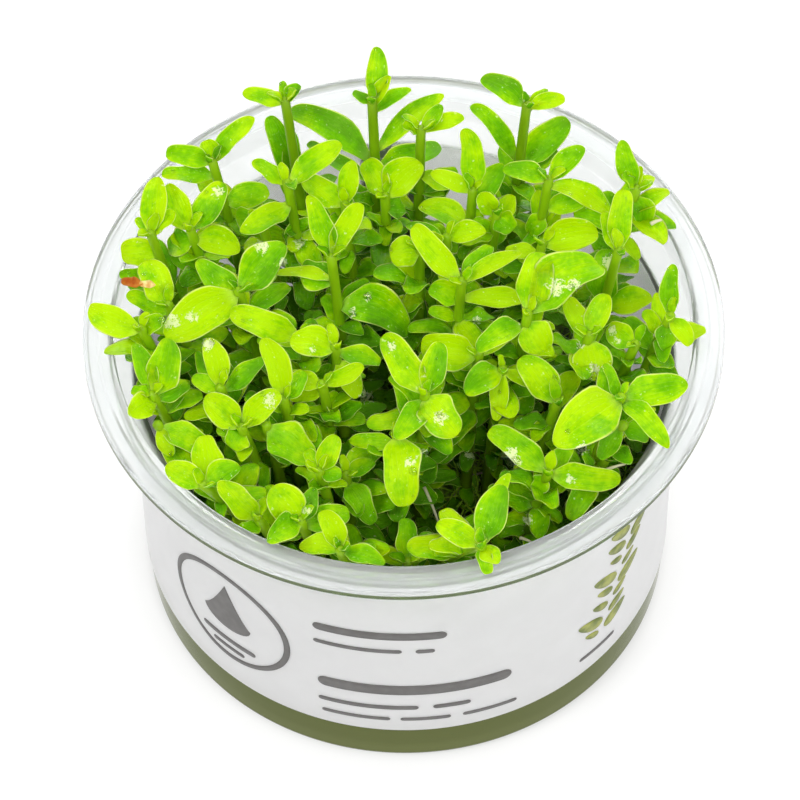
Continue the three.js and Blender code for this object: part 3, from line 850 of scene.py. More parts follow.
SHOOTS = [
    ShootPlan((372, 100), 79, [(0, 377, 47, 6, 3.7, 0.7), (0, 353, 91, 1.5, 2), (1, 389, 76, 5, 2.4),
        (2, 411, 88, 3, 2.6), (11, 443, 93, 8, 3.8, 0.5), (14, 290, 113, 2, 5, 0.6, 0.42),
        (14.5, 441, 145, 1, 4.6, 0.7), (18, 304, 138, -1, 2.8, 0.5)]),
    ShootPlan((285, 100), 77, [(0, 242, 91, 1.5, 3.2, 0.4), (0, 300, 85, 2.5, 2.4), (1, 282, 81, 3, 1.8),
        (19, 270, 116, 11, 4.2, 0.9), (19, 289, 128, 9, 3.6, 0.9)]),
    ShootPlan((527, 104), 77, [(0, 481, 79, 2, 4.2, 0.7), (0, 565, 99, 1, 2.8, 0.5), (1, 547, 88, 2, 2.2),
        (12.5, 569, 119, 5, 5.2, 0.7), (12.5, 471, 102, 8, 3.2, 0.4, 0.25)]),
    ShootPlan((421, 128), 74, [(0, 441, 104, 3, 3, 0.2), (0, 464, 119, 1, 2.8, 0.5),
        (0.5, 403, 124, 1, 2.4), (9, 452, 186, -1, 3.4, 0.6)]),
    ShootPlan((549, 178), 73, [(0, 584, 146, 4, 3.8, 0.6), (1, 613, 217, -5, 4, 0.7, 0.4),
        (0, 503, 170, 1, 3.6, 0.7), (6, 589, 196, 1, 3.8, 0.7), (7, 528, 234, -3, 3.6, 0.9)]),
    ShootPlan((637, 188), 72, [(0, 621, 140, 6, 3.6, 0.7), (0, 653, 176, 1, 2.6, 0.5),
        (0.5, 641, 166, 3, 2), (1, 645, 227, -4, 4, 0.8, 0.2)]),
    ShootPlan((619, 250), 69, [(0, 624, 190, 8, 4.2, 0.8), (0, 604, 212, 4, 3, 0.6),
        (13, 609, 249, 8, 5.4, 0.9), (13, 652, 297, 2, 4.6, 0.8)]),
    ShootPlan((473, 190), 70, [(0, 465, 128, 8, 4.2, 0.9), (0, 430, 172, 2, 3, 0.6),
        (2, 503, 165, 3, 4.2, 0.8), (8, 420, 205, 0, 4.6, 0.7)]),
    ShootPlan((212, 160), 72, [(0, 254, 116, 5, 3.4, 0.7), (0, 166, 153, 2, 3.6, 0.7),
        (0.5, 206, 140, 3, 3.4, 0.8), (3, 161, 174, 0, 3.4, 0.6), (9, 269, 190, 1, 4.8, 0.8)]),
    ShootPlan((190, 228), 68, [(0, 168, 183, 5, 5, 0.95), (0, 223, 182, 5, 4.8, 0.95),
        (2, 167, 250, -2, 4.6, 0.9), (2, 240, 251, -1, 5, 0.9)]),
    ShootPlan((150, 232), 69, [(0, 158, 177, 6, 4.6, 0.95), (0, 175, 212, 2, 3, 0.6),
        (1, 136, 219, 1, 2, 0.5), (5, 120, 252, 0, 5, 0.9), (9, 119, 274, -1, 3, 0.6)]),
    ShootPlan((287, 182), 71, [(0, 341, 142, 5, 4.4, 0.8), (0, 252, 160, 2, 3, 0.5),
        (4, 240, 232, -2, 4.4, 0.7), (8, 300, 232, -2, 5, 0.8)]),
    ShootPlan((345, 203), 67, [(0, 353, 160, 6, 3.6, 0.9), (0, 303, 178, 3, 4.6, 0.8)]),
    ShootPlan((385, 195), 65, [(0, 420, 162, 4, 6, 0.9), (2, 405, 208, -1, 4.6, 0.6),
        (0, 366, 160, 4, 4.4, 0.8)]),
    ShootPlan((331, 256), 71, [(0, 308, 195, 8, 3.9, 0.9), (0, 362, 203, 8, 3.9, 0.9),
        (12, 409, 333, -3, 6.8, 0.95, 0.5), (6, 301, 266, 1, 5.2, 0.9), (5, 274, 272, -1, 2.6, 0.3)]),
    ShootPlan((420, 247), 66, [(0, 390, 256, 0, 5.4, 0.8), (3, 442, 236, 1, 3.4, 0.6)]),
    ShootPlan((462, 280), 68, [(0, 414, 227, 5, 4.4, 0.9, 0.2), (0, 521, 253, 2, 3, 0.8),
        (1, 490, 245, 3, 3.4, 0.8), (4, 528, 301, -2, 3.6, 0.7), (5, 429, 288, 2, 4.2, 0.7)]),
    ShootPlan((447, 236), 67, [(0, 486, 231, 2, 3.8, 0.9), (1, 404, 222, 1, 3.4, 0.5)]),
    ShootPlan((497, 212), 68, [(0, 480, 193, 3, 3.6, 0.8), (0, 514, 229, -1, 4, 0.9)]),
    ShootPlan((528, 312), 69, [(0, 539, 252, 7, 6.2, 0.95, 0.2), (0, 600, 262, 5, 7.6, 0.95, 0.3),
        (2, 546, 353, -3, 6.2, 0.95), (3, 478, 350, -1, 4, 0.8)]),
    ShootPlan((543, 242), 67, [(0, 598, 232, 3, 5.6, 0.9), (2, 505, 250, 0, 3.2, 0.6)]),
    ShootPlan((238, 290), 68, [(0, 166, 337, -3, 7.4, 0.95, 0.15), (0, 284, 243, 5, 6.4, 0.95),
        (2, 197, 262, 3, 4.6, 0.9)]),
    ShootPlan((168, 304), 66, [(0, 147, 260, 4, 5.4, 0.95), (2, 127, 296, 1, 3.4, 0.6)]),
    ShootPlan((141, 328), 66, [(0, 89, 308, 2, 5, 0.9), (1, 162, 316, 1, 3, 0.6)]),
    ShootPlan((152, 394), 63, [(0, 134, 343, 6, 3.6, 0.8), (0, 169, 338, 7, 5.8, 0.9),
        (1, 188, 383, 1, 3.6, 0.8), (1, 128, 415, -1, 5.2, 0.8), (0, 156, 360, 4, 1.8, 0.5)]),
    ShootPlan((157, 424), 61, [(0, 172, 456, -2, 2.6, 0.6), (0, 217, 456, -2, 4.6, 0.9)]),
    ShootPlan((203, 485), 60, [(0, 165, 465, 1, 4.4, 0.9), (0, 239, 466, 1, 4.2, 0.9),
        (3, 203, 434, 4, 5, 0.8)]),
    ShootPlan((258, 518), 58, [(0, 220, 482, 3, 5.4, 0.9), (2, 240, 530, -1, 2.6, 0.6)]),
    ShootPlan((220, 387), 64, [(0, 208, 338, 6, 4.2, 0.9), (0, 192, 378, 1, 3.2, 0.8),
        (1, 264, 358, 3, 3.4, 0.8), (3, 196, 352, 3, 3, 0.7)]),
    ShootPlan((241, 426), 62.5, [(0, 279, 392, 3, 4.4, 0.95), (0, 205, 396, 3, 5.2, 0.95),
        (1, 231, 448, -1, 4.4, 0.95)]),
    ShootPlan((283, 398), 64, [(0, 263, 338, 7, 4.4, 0.95), (0, 304, 371, 3, 3.4, 0.8)]),
    ShootPlan((266, 424), 60, [(0, 313, 460, -2, 6.4, 0.95, 0.1)]),
    ShootPlan((302, 336), 66, [(0, 230, 311, 1, 5, 0.9, 0.15), (2, 260, 328, -1, 3.4, 0.5)]),
    ShootPlan((335, 346), 66.5, [(0, 290, 339, 1, 5.2, 0.95), (1, 381, 362, -1, 3.4, 0.7),
        (3, 358, 398, -3, 4, 0.7)]),
    ShootPlan((322, 383), 64, [(0, 364, 366, 2, 3, 0.8), (0, 288, 374, 1, 3.4, 0.8),
        (2, 290, 399, -1, 3.2, 0.8), (3, 344, 416, -3, 5, 0.7)]),
    ShootPlan((425, 393), 66, [(0, 383, 335, 5, 5.4, 0.95), (0, 440, 342, 6, 4.4, 0.9),
        (0.5, 457, 435, -2, 6.6, 0.95, 0.2), (1, 397, 438, -2, 4.4, 0.9)]),
    ShootPlan((479, 353), 64, [(0, 421, 343, 2, 6.2, 0.9), (0, 512, 322, 2, 3.8, 0.8)]),
    ShootPlan((503, 368), 63, [(0, 466, 394, -1, 5, 0.9), (0, 496, 421, -4, 3.2, 0.8),
        (0, 541, 386, -2, 2.6, 0.5)]),
    ShootPlan((397, 433), 63, [(0, 403, 507, -5, 6.6, 0.95, 0.3), (3, 348, 440, -1, 3, 0.5)]),
    ShootPlan((590, 334), 65, [(0, 607, 294, 4, 4.2, 0.7), (1, 601, 381, -3, 6.6, 0.95),
        (1, 566, 299, 4, 3.6, 0.6)]),
    ShootPlan((636, 343), 63, [(0, 609, 326, 1, 4.4, 0.9)]),
    ShootPlan((671, 315), 67, [(0, 673, 264, 6, 3.2, 0.9), (0, 691, 345, -2, 3.2, 0.8),
        (1, 666, 352, -3, 3.6, 0.8)]),
    ShootPlan((558, 402), 61, [(0, 520, 357, 3, 5.6, 0.95), (2, 578, 372, 2, 4, 0.7)]),
    ShootPlan((622, 396), 67, [(0, 556, 443, -2, 8.4, 0.98, 0.15), (0, 688, 384, 0, 5.6, 0.9),
        (1, 668, 448, -4, 3.8, 0.8, 0.35), (1, 605, 363, 4, 2.2, 0.4)]),
    ShootPlan((624, 424), 61, [(0, 649, 439, -2, 3.8, 0.8), (0, 600, 460, -3, 3.6, 0.8),
        (2, 655, 408, 1, 3.6, 0.7)]),
    ShootPlan((549, 472), 57, [(0, 490, 431, 3, 4.8, 0.95), (0, 621, 480, -1, 4.6, 0.95),
        (1, 536, 492, -3, 3.2, 0.8), (1, 570, 444, 2, 3.4, 0.7)]),
    ShootPlan((482, 546), 62, [(0, 503, 484, 6, 5.2, 0.98), (0, 437, 523, 2, 4, 0.95),
        (0, 499, 563, 0, 3.2, 0.8), (0, 489, 574, 0, 2.6, 0.7), (4, 510, 473, 6, 2.8, 0.8)]),
    ShootPlan((408, 561), 47, [(0, 405, 518, 5, 3.9, 0.95), (0, 432, 541, 1, 3.2, 0.9),
        (1, 371, 548, 1, 2.8, 0.8)]),
    ShootPlan((340, 549), 58, [(0, 322, 511, 5, 4, 0.95), (0, 385, 563, -1, 3.2, 0.8),
        (0, 299, 547, 0, 3.6, 0.8)]),
    ShootPlan((300, 520), 59, [(0, 272, 487, 4, 6.2, 0.9), (0, 270, 540, -1, 5.2, 0.95),
        (1, 314, 487, 4, 3, 0.7), (2, 350, 512, 0, 4.6, 0.9)]),
    ShootPlan((319, 470), 61, [(0, 336, 435, 4, 3.8, 0.95), (0, 342, 474, 0, 3, 0.8),
        (1, 306, 450, 2, 2.6, 0.7)]),
    ShootPlan((346, 474), 56, [(0, 373, 461, 0, 3, 0.8), (1, 386, 442, 2, 4.6, 0.6),
        (2, 374, 524, -4, 4.2, 0.7, 0.3)]),
    ShootPlan((594, 470), 52, [(0, 570, 520, -3, 4.4, 0.7)]),
    ShootPlan((262, 222), 64, [(0, 287, 214, -1, 4.2, 0.7), (0, 236, 212, 1, 4, 0.7)]),
    ShootPlan((540, 515), 38, [(0, 528, 545, -3, 5, 0.9), (0, 512, 494, 1, 4, 0.8)]),
]

# Water patches whitened by painted glare, as places in the frame.
WET_GLARE_SPOTS = [
    WetGlareSpot(218, 192, 9), WetGlareSpot(262, 246, 11), WetGlareSpot(300, 243, 9), WetGlareSpot(172, 322, 12),
    WetGlareSpot(192, 316, 10), WetGlareSpot(208, 345, 9), WetGlareSpot(269, 401, 11), WetGlareSpot(392, 347, 8),
    WetGlareSpot(353, 313, 8), WetGlareSpot(367, 298, 7), WetGlareSpot(312, 350, 6), WetGlareSpot(440, 418, 11),
    WetGlareSpot(410, 462, 9), WetGlareSpot(425, 452, 6), WetGlareSpot(555, 288, 13), WetGlareSpot(575, 283, 10),
    WetGlareSpot(610, 262, 12), WetGlareSpot(580, 345, 7), WetGlareSpot(595, 368, 9), WetGlareSpot(510, 458, 16),
    WetGlareSpot(570, 478, 9), WetGlareSpot(528, 520, 9), WetGlareSpot(612, 330, 7), WetGlareSpot(618, 340, 6),
    WetGlareSpot(477, 320, 6), WetGlareSpot(470, 455, 8), WetGlareSpot(307, 510, 7), WetGlareSpot(367, 397, 10),
    WetGlareSpot(582, 448, 10), WetGlareSpot(283, 262, 7),
]

DROP_SPOTS = [(296, 303), (636, 338), (558, 372), (572, 428), (365, 300), (566, 284), (438, 412), (165, 326),
              (268, 396), (206, 343), (606, 258), (518, 462), (412, 470), (352, 316), (590, 372)]


@dataclass
class Clearance:
    """Room that shoots have already taken, kept as spheres along their stems and leaves."""

    gap: float = 0.3
    margin: float = 0.75
    rim_height: float = 60.0
    rim_reach: float = 50.0
    seat_height: float = 55.3
    seat_reach: float = 45.1
    wall_reach: float = 41.4
    floor_height: float = 18.0
    spheres: list[np.ndarray] = field(default_factory=list)
    lows: list[np.ndarray] = field(default_factory=list)
    highs: list[np.ndarray] = field(default_factory=list)
    radii: list[float] = field(default_factory=list)
    owners: list[int] = field(default_factory=list)

    def add(self, centres: np.ndarray, radius: float, owner: int) -> None:
        """Take room.

        Args:
            centres: rows of sphere centres.
            radius: the radius of them all.
            owner: the number of their shoot.
        """
        self.spheres.append(centres)
        self.lows.append(centres.min(0))
        self.highs.append(centres.max(0))
        self.radii.append(radius)
        self.owners.append(owner)

    def inside_cup(self, centres: np.ndarray) -> bool:
        """Tell whether points stay clear of the cup and the root mat."""
        reach = np.hypot(centres[:, 0], centres[:, 1])
        height = centres[:, 2]
        over = height > self.rim_height + self.margin
        in_seat = ~over & (height > self.seat_height)
        low = ~over & ~in_seat
        clear = (~over | (reach < self.rim_reach)) & (~in_seat | (reach < self.seat_reach - self.margin))
        clear &= ~low | ((reach < self.wall_reach - self.margin) & (height > self.floor_height + self.margin))
        return bool(clear.all())

    def fits(self, centres: np.ndarray, radius: float, owner: int) -> bool:
        """Tell whether spheres clear the cup and every other shoot.

        Args:
            centres: rows of sphere centres.
            radius: the radius of them all.
            owner: the number of their shoot.

        Returns:
            True if there is room.
        """
        if not self.inside_cup(centres):
            return False
        if not self.spheres:
            return True
        reaches = np.array(self.radii) + radius + self.gap
        low, high = centres.min(0), centres.max(0)
        near = (np.array(self.lows) - reaches[:, None] < high).all(1)
        near &= (np.array(self.highs) + reaches[:, None] > low).all(1)
        near &= np.array(self.owners) != owner
        for i in np.flatnonzero(near):
            apart = centres[:, None, :] - self.spheres[i][None, :, :]
            if float((apart**2).sum(-1).min()) < reaches[i] ** 2:
                return False
        return True


@dataclass(frozen=True)
class Curve:
    """A bend given by its two ends and one point that pulls it."""

    start: np.ndarray
    pull: np.ndarray
    end: np.ndarray

    def at(self, share: float | np.ndarray) -> np.ndarray:
        """Find points along the bend.

        Args:
            share: nought at the start to one at the end.

        Returns:
            One point, or a row for each share.
        """
        t = np.asarray(share, dtype=float)[..., None]
        return (1 - t) ** 2 * self.start + 2 * t * (1 - t) * self.pull + t**2 * self.end

    def heading(self, share: float | np.ndarray) -> np.ndarray:
        """Find the direction along the bend, as at() does points."""
        step = 0.0001
        share = np.asarray(share, dtype=float)
        return unit(self.at(np.minimum(share + step, 1)) - self.at(np.maximum(share - step, 0)))


@dataclass
class Blade:
    """One leaf: a midrib from its node to its tip, with a cupped, fleshy blade on both sides of it.

    Its bends (wave, twist, cupping, lean and curl) and its edge (bluntness, lopsided and wobble) differ from
    leaf to leaf. The rest of its shape is shared.
    """

    base: np.ndarray
    tip: np.ndarray
    width: float
    facing: float = 0.3
    arch: float = 0.12
    # How old the leaf looks, darkened further by painted shade.
    age: float = 0.4
    tone: float = 0.5
    wave: float = 0.0
    twist: float = 0.0
    cupping: float = 0.22
    thickness: float = 0.62
    clearance: float = 0.6
    sample_step: float = 0.8
    fullness: float = 0.94
    bluntness: float = 0.24
    lopsided: float = 0.0
    wobble: float = 0.0
    lean: float = 0.0
    curl: float = 0.0
    rows: int = 15
    columns: int = 9
    foot_share: float = 0.1
    roundness: float = 0.6
    tip_crowding: float = 1.6
    neck: float = 0.42
    neck_length: float = 0.34
    blunt_band: Band = (0.45, 0.9)
    wobble_pitch: float = 1.4
    wobble_split: float = 0.37
    wave_pitch: float = 1.6
    wave_split: float = 0.31
    fold_width: float = 0.5
    groove_depth: float = 0.10
    groove_width: float = 0.28
    thin_tip: float = 0.55
    thin_from: float = 0.5
    edge_round: float = 0.8

    def __post_init__(self) -> None:
        """Work out the midrib and the direction across the blade."""
        sight = Sight()
        self.length = float(np.linalg.norm(self.tip - self.base))
        middle = (self.base + self.tip) / 2 + UP * self.arch * self.length
        along = unit(self.tip - self.base)
        upward = unit(UP - along * (along @ UP))
        to_viewer = unit(sight.back - along * (along @ sight.back))
        self.midrib = Curve(self.base, middle, self.tip)
        leaning = unit(upward + (to_viewer - upward) * self.facing)
        self.side = unit(np.cross(leaning, along))

    def outline(self, share: np.ndarray) -> np.ndarray:
        """Swell and close again along the midrib, from nought to one."""
        return np.sin(np.pi * (self.foot_share + (1 - self.foot_share) * share))

    def half_width(self, share: np.ndarray) -> np.ndarray:
        """Half the blade's width along the midrib."""
        return (self.width / 2) * np.abs(self.outline(share)) ** self.roundness

    def normal(self, share: np.ndarray) -> np.ndarray:
        """Direction out of the blade's upper face along the midrib."""
        return unit(np.cross(self.midrib.heading(share), self.side))

    def samples(self) -> np.ndarray:
        """Sphere centres that stand for the blade when room is sought."""
        count = math.ceil(self.length / self.sample_step)
        rows = []
        for i in range(1, count + 1):
            share = i / count
            half = float(self.half_width(np.array(share)))
            columns = math.ceil(half / self.sample_step)
            across = half * np.arange(-columns, columns + 1) / max(columns, 1)
            spots = self.midrib.at(share) + self.side * across[:, None]
            rows.append(spots + self.normal(np.array(share)) * (self.cupping * np.abs(across))[:, None])
        return np.concatenate(rows)

    def faces_up(self) -> tuple[np.ndarray, np.ndarray, np.ndarray, np.ndarray, np.ndarray]:
        """Lay out the blade's upper face.

        Returns:
            Points and normals as row by column grids, the half thickness there, and the places of the rows
            and of the columns.
        """
        along = 1 - (1 - np.linspace(0, 1, self.rows + 2)[1:-1]) ** self.tip_crowding
        across = np.sin(np.linspace(-math.pi / 2, math.pi / 2, self.columns))
        down, out = along[:, None], across[None, :]
        neck = self.neck + (1 - self.neck) * smooth(0.0, self.neck_length, down)
        blunt = np.clip(self.outline(down), 1e-4, 1) ** (-self.bluntness * smooth(*self.blunt_band, down))
        half = self.half_width(down) * neck * blunt * self.fullness
        wobble = np.sin(TURN * (self.wobble_pitch * down + self.wobble_split * np.sign(out) + self.tone))
        ripple = np.sin(TURN * (self.wave_pitch * down + self.wave_split * np.sign(out)))
        offset = half * out * (1 + self.lopsided * out + self.wobble * wobble)
        lift = self.cupping * (np.sqrt(offset**2 + self.fold_width**2) - self.fold_width)
        lift = lift + (self.wave * ripple * out**2 + self.twist * out * down) * half
        groove = self.groove_depth * np.exp(-((offset / self.groove_width) ** 2))
        lift += self.curl * self.length * down**3 - groove
        bow = self.lean * self.length * np.sin(math.pi * down)
        normals = self.normal(along)[:, None, :]
        points = self.midrib.at(along)[:, None, :] + self.side * (offset + bow)[..., None]
        points = points + normals * lift[..., None]
        body = self.thickness * (self.thin_tip + (1 - self.thin_tip) * smooth(1.0, self.thin_from, down))
        thick = body * np.sqrt(np.clip(1 - out**2, 0, 1)) ** self.edge_round
        return points, np.broadcast_to(normals, points.shape), thick, along, across

    def draw(self, draft: Draft, slot: int = 0) -> None:
        """Add the blade's closed mesh to a draft.

        Args:
            draft: the mesh it joins.
            slot: its material slot.
        """
        top, normals, thick, along, across = self.faces_up()
        under = top - normals * thick[..., None]
        rows, columns = thick.shape
        look = {"tone": self.tone, "age": self.age}
        start = draft.add_points(top.reshape(-1, 3), **look)
        upper = start + np.arange(rows * columns).reshape(rows, columns)
        inner = draft.add_points(under[:, 1:-1].reshape(-1, 3), **look)
        lower = upper.copy()
        lower[:, 1:-1] = inner + np.arange(rows * (columns - 2)).reshape(rows, columns - 2)
        point = self.tip + self.normal(np.array(1.0)) * self.curl * self.length
        poles = draft.add_points(np.stack([self.base, point]), **look)
        base, tip = np.full((1, columns), poles), np.full((1, columns), poles + 1)
        across_map, along_map = (across + 1) / 2, np.concatenate([[0.0], along, [1.0]])
        for side, flip in ((upper, True), (lower, False)):
            draft.add_sheet(np.concatenate([base, side, tip]), across_map, along_map, slot, flip)


@dataclass
class Stem:
    """A juicy round stem that thins towards its top."""

    curve: Curve
    radius: float = 1.0
    taper: float = 0.22
    sides: int = 12
    rings: int = 18
    cap_rise: float = 0.7
    clearance: float = 1.1

    def node(self, drop: float, inset: float = 0.8) -> np.ndarray:
        """Find the point on the stem at a drop below its top."""
        height = self.curve.end[2] - self.curve.start[2]
        return self.curve.at(1 - (drop + inset) / height)

    def draw(self, draft: Draft, slot: int = 0) -> None:
        """Add the stem's closed mesh to a draft.

        Args:
            draft: the mesh it joins.
            slot: its material slot.
        """
        shares = np.linspace(0, 1, self.rings)
        centres, headings = self.curve.at(shares), self.curve.heading(shares)
        first = unit(np.cross(headings, np.array([0.0, 1.0, 0.0])))
        second = np.cross(headings, first)
        x, y = (part[None, :, None] for part in circle(1.0, self.sides))
        radii = self.radius * (1 - self.taper * shares)
        points = centres[:, None, :] + (first[:, None, :] * x + second[:, None, :] * y) * radii[:, None, None]
        rows = [draft.add_ring(ring) for ring in points]
        cap = centres[-1] + headings[-1] * self.radius * self.cap_rise
        ends = draft.add_points(np.stack([centres[0], cap]))
        foot, top = (np.full(self.sides + 1, end) for end in (ends, ends + 1))
        draft.add_sheet([foot, *rows, top], None, np.concatenate([[0.0], shares, [1.0]]), slot)


@dataclass
class Shoot:
    """One shoot: its plan, its stem and the leaves that have found room."""

    number: int
    plan: ShootPlan
    stem: Stem
    blades: list[Blade] = field(default_factory=list)
    wet_core: float = 1.3

    def wetness_and_glare(self, points: np.ndarray) -> np.ndarray:
        """Tell how deep points lie in the listed water patches, which carry painted glare.

        Args:
            points: rows of points.

        Returns:
            Nought for dry to one for the middle of a patch.
        """
        seen = Sight().place(points)
        wet_and_glare = np.zeros(len(points))
        for spot in WET_GLARE_SPOTS:
            away = np.hypot(seen[:, 0] - spot.across, seen[:, 1] - spot.down) / spot.reach
            wet_and_glare = np.maximum(wet_and_glare, np.clip(self.wet_core - away, 0, 1))
        return wet_and_glare

    def build(self, leaf: bpy.types.Material, stem: bpy.types.Material) -> None:
        """Make the shoot's mesh and fix it to the model.

        Args:
            leaf: the leaves' finish.
            stem: the stem's finish.
        """
        draft = Draft()
        self.stem.draw(draft, 1)
        for blade in self.blades:
            blade.draw(draft)
        name = f"shoot_{self.number:02d}"
        piece = draft.build(f"bacopa_{name}", [leaf, stem], self.wetness_and_glare(np.concatenate(draft.points)))
        fasten(piece, "leaves", name)


@dataclass
class Thicket:
    """All the shoots of the cup, placed so that none touches another."""

    seed: int = 20240611
    fill_seed: int = 77
    look_seed: int = 5
    floor_height: float = 18.3
    foot_lean: float = 0.8
    foot_limit: float = 38.5
    foot_bend: float = 0.25
    spread_step: float = 0.1
    sample_step: float = 0.8
    attempts: int = 120
    top_slides: tuple[float, ...] = (0, 0, 0, 1.5, -1.5, 3)
    tip_slides: tuple[float, ...] = (0, 1.5, -1.5, 3, -3, 4.5, -4.5, 6, -6)
    narrowings: tuple[float, ...] = (1, 0.82, 0.66)
    turns: tuple[tuple[float, float], ...] = (
        (0, 1), (0.5, 1), (-0.5, 1), (0, 0.75), (0.9, 0.75), (-0.9, 0.75), (0, 0.55))
    lower_drop: float = 8.0
    lower_floor: float = 27.0
    lower_climb: Band = (0.3, 0.8)
    lower_length: Band = (6, 9)
    lower_slenderness: float = 0.52
    lower_rows: int = 12
    lower_columns: int = 5
    undergrowth_floor: float = 21.0
    undergrowth_gaps: Band = (4, 7)
    undergrowth_climb: Band = (0.0, 0.8)
    undergrowth_length: Band = (5, 9)
    bud_inset: float = 0.2
    bud_climb: Band = (0.7, 1.2)
    bud_lengths: Band = (2.4, 4.0)
    bud_limit: float = 4.2
    # Extra painted shade for buds at the far side.
    bud_back_shade: float = 0.3
    youngest: float = 0.12
    age_depth: float = 40.0
    # Shares of age by depth below the top, then of painted shade low in the cup, at the far side and at the
    # right in front.
    age_and_shade_shares: tuple[float, float, float, float] = (0.55, 0.4, 0.2, 0.3)
    sunk: Band = (34, 66)
    far: Band = (8, 36)
    right: Band = (20, 38)
    front: Band = (6, -10)
    small_waves: Band = (0.05, 0.2)
    large_wave: float = 0.25
    spreads: tuple[tuple[str, float, float], ...] = (
        ("twist", -0.6, 0.6), ("cupping", 0.08, 0.6), ("bluntness", 0.06, 0.32), ("lopsided", -0.14, 0.14),
        ("wobble", 0.0, 0.14), ("lean", -0.06, 0.06), ("curl", -0.1, 0.07))
    sight: Sight = field(default_factory=Sight)
    clearance: Clearance = field(default_factory=Clearance)
    shoots: list[Shoot] = field(default_factory=list)

    def place_stem(self, plan: ShootPlan, owner: int, draws: Draws) -> Stem | None:
        """Find room for a stem.

        Args:
            plan: the shoot's plan.
            owner: its number.
            draws: the random numbers.

        Returns:
            The stem, or None if there is no room.
        """
        for attempt in range(self.attempts):
            slide = self.top_slides[attempt % len(self.top_slides)]
            spread = 1 + attempt * self.spread_step
            top = self.sight.point(*plan.at, plan.height + slide)
            foot = np.array([top[0] * self.foot_lean, top[1] * self.foot_lean, self.floor_height])
            foot[0] += draws.between(-spread, spread)
            foot[1] += draws.between(-spread, spread)
            reach = math.hypot(foot[0], foot[1])
            if reach > self.foot_limit:
                foot[:2] *= self.foot_limit / reach
            bend = foot + (top - foot) * self.foot_bend
            bend[2] = (foot[2] + top[2]) / 2
            stem = Stem(Curve(foot, bend, top))
            count = math.ceil(float(np.linalg.norm(top - foot)) / self.sample_step)
            centres = stem.curve.at(np.arange(count + 1) / count)
            if self.clearance.fits(centres[2:], stem.clearance, owner):
                self.clearance.add(centres, stem.clearance, owner)
                return stem
        return None

    def keep(self, blade: Blade, shoot: Shoot) -> bool:
        """Add a blade to its shoot if there is room for it.

        Args:
            blade: the blade to place.
            shoot: the shoot it grows from.

        Returns:
            True if it was added.
        """
        centres = blade.samples()
        if not self.clearance.fits(centres, blade.clearance, shoot.number):
            return False
        self.clearance.add(centres, blade.clearance, shoot.number)
        shoot.blades.append(blade)
        return True

    def place_leaf(self, shoot: Shoot, row: tuple[float, ...]) -> None:
        """Find room for a leaf of the plan, sliding it along the line of sight.

        Args:
            shoot: the shoot it grows from.
            row: its row of the plan.
        """
        drop, across, down, rise, width, *turning = row
        base = shoot.stem.node(drop)
        for narrowing in self.narrowings:
            for slide in self.tip_slides:
                tip = self.sight.point(across, down, base[2] + rise + slide)
                if self.keep(Blade(base, tip, width * narrowing, *turning), shoot):
                    return

    def place_lower(self, shoot: Shoot, base: np.ndarray, heading: float, climb: float,
                    length: float) -> None:
        """Find room for a lower leaf, turning or shortening it.

        Args:
            shoot: the shoot it grows from.
            base: its node.
            heading: its direction seen from above.
            climb: its slope.
            length: its length.
        """
        for turn, scale in self.turns:
            reach = length * scale
            way = [math.cos(heading + turn) * math.cos(climb), math.sin(heading + turn) * math.cos(climb),
                   math.sin(climb)]
            blade = Blade(base, base + np.array(way) * reach, reach * self.lower_slenderness, 0.0,
                          rows=self.lower_rows, columns=self.lower_columns)
            if self.keep(blade, shoot):
                return

    def grow(self) -> None:
        """Place every stem, then the leaves that show, then a lower pair on each stem."""
        draws = Draws(self.seed)
        for owner, plan in enumerate(SHOOTS, 1):
            stem = self.place_stem(plan, owner, draws)
            if stem is not None:
                self.shoots.append(Shoot(owner, plan, stem))
        for shoot in self.shoots:
            for row in shoot.plan.leaves:
                self.place_leaf(shoot, row)
        for shoot in self.shoots:
            lowest = max(row[0] for row in shoot.plan.leaves)
            base = shoot.stem.node(lowest + self.lower_drop)
            heading = draws.between(0, TURN)
            for half in (0.0, math.pi):
                climb = draws.between(*self.lower_climb)
                length = draws.between(*self.lower_length)
                if base[2] >= self.lower_floor:
                    self.place_lower(shoot, base, heading + half, climb, length)
        LOG.info("%d shoots, %d leaves", len(self.shoots), sum(len(shoot.blades) for shoot in self.shoots))

    def fill_in(self) -> None:
        """Add the young leaves at each top and the undergrowth further down the stems."""
        draws = Draws(self.fill_seed)
        for shoot in self.shoots:
            top = shoot.stem.node(0.0, self.bud_inset)
            heading = draws.between(0, TURN)
            for half in (0.0, math.pi):
                length = draws.between(*self.bud_lengths)
                climb = draws.between(*self.bud_climb)
                self.place_lower(shoot, top, heading + half, climb, length)
            drop = max(row[0] for row in shoot.plan.leaves) + self.lower_drop / 2
            while (base := shoot.stem.node(drop))[2] > self.undergrowth_floor:
                heading = draws.between(0, TURN)
                for quarter in range(4):
                    turn = heading + quarter * math.pi / 2
                    climb = draws.between(*self.undergrowth_climb)
                    length = draws.between(*self.undergrowth_length)
                    self.place_lower(shoot, base, turn, climb, length)
                drop += draws.between(*self.undergrowth_gaps)
        LOG.info("%d leaves with the undergrowth", sum(len(shoot.blades) for shoot in self.shoots))

    def age_and_shade_of(self, blade: Blade, top: float) -> float:
        """Tell how old and how shaded a leaf looks.

        It is older further below its shoot's top, and painted shade darkens it low in the cup, at the far
        side, buds there most of all, and at the right in front.

        Args:
            blade: the leaf.
            top: the height of its shoot's top.

        Returns:
            Nought for young and unshaded to one for old and deep in painted shade.
        """
        x, y, z = (float(part) for part in blade.base)
        by_depth, by_floor_shade, by_back_shade, by_right_shade = self.age_and_shade_shares
        depth = (top - z) / self.age_depth
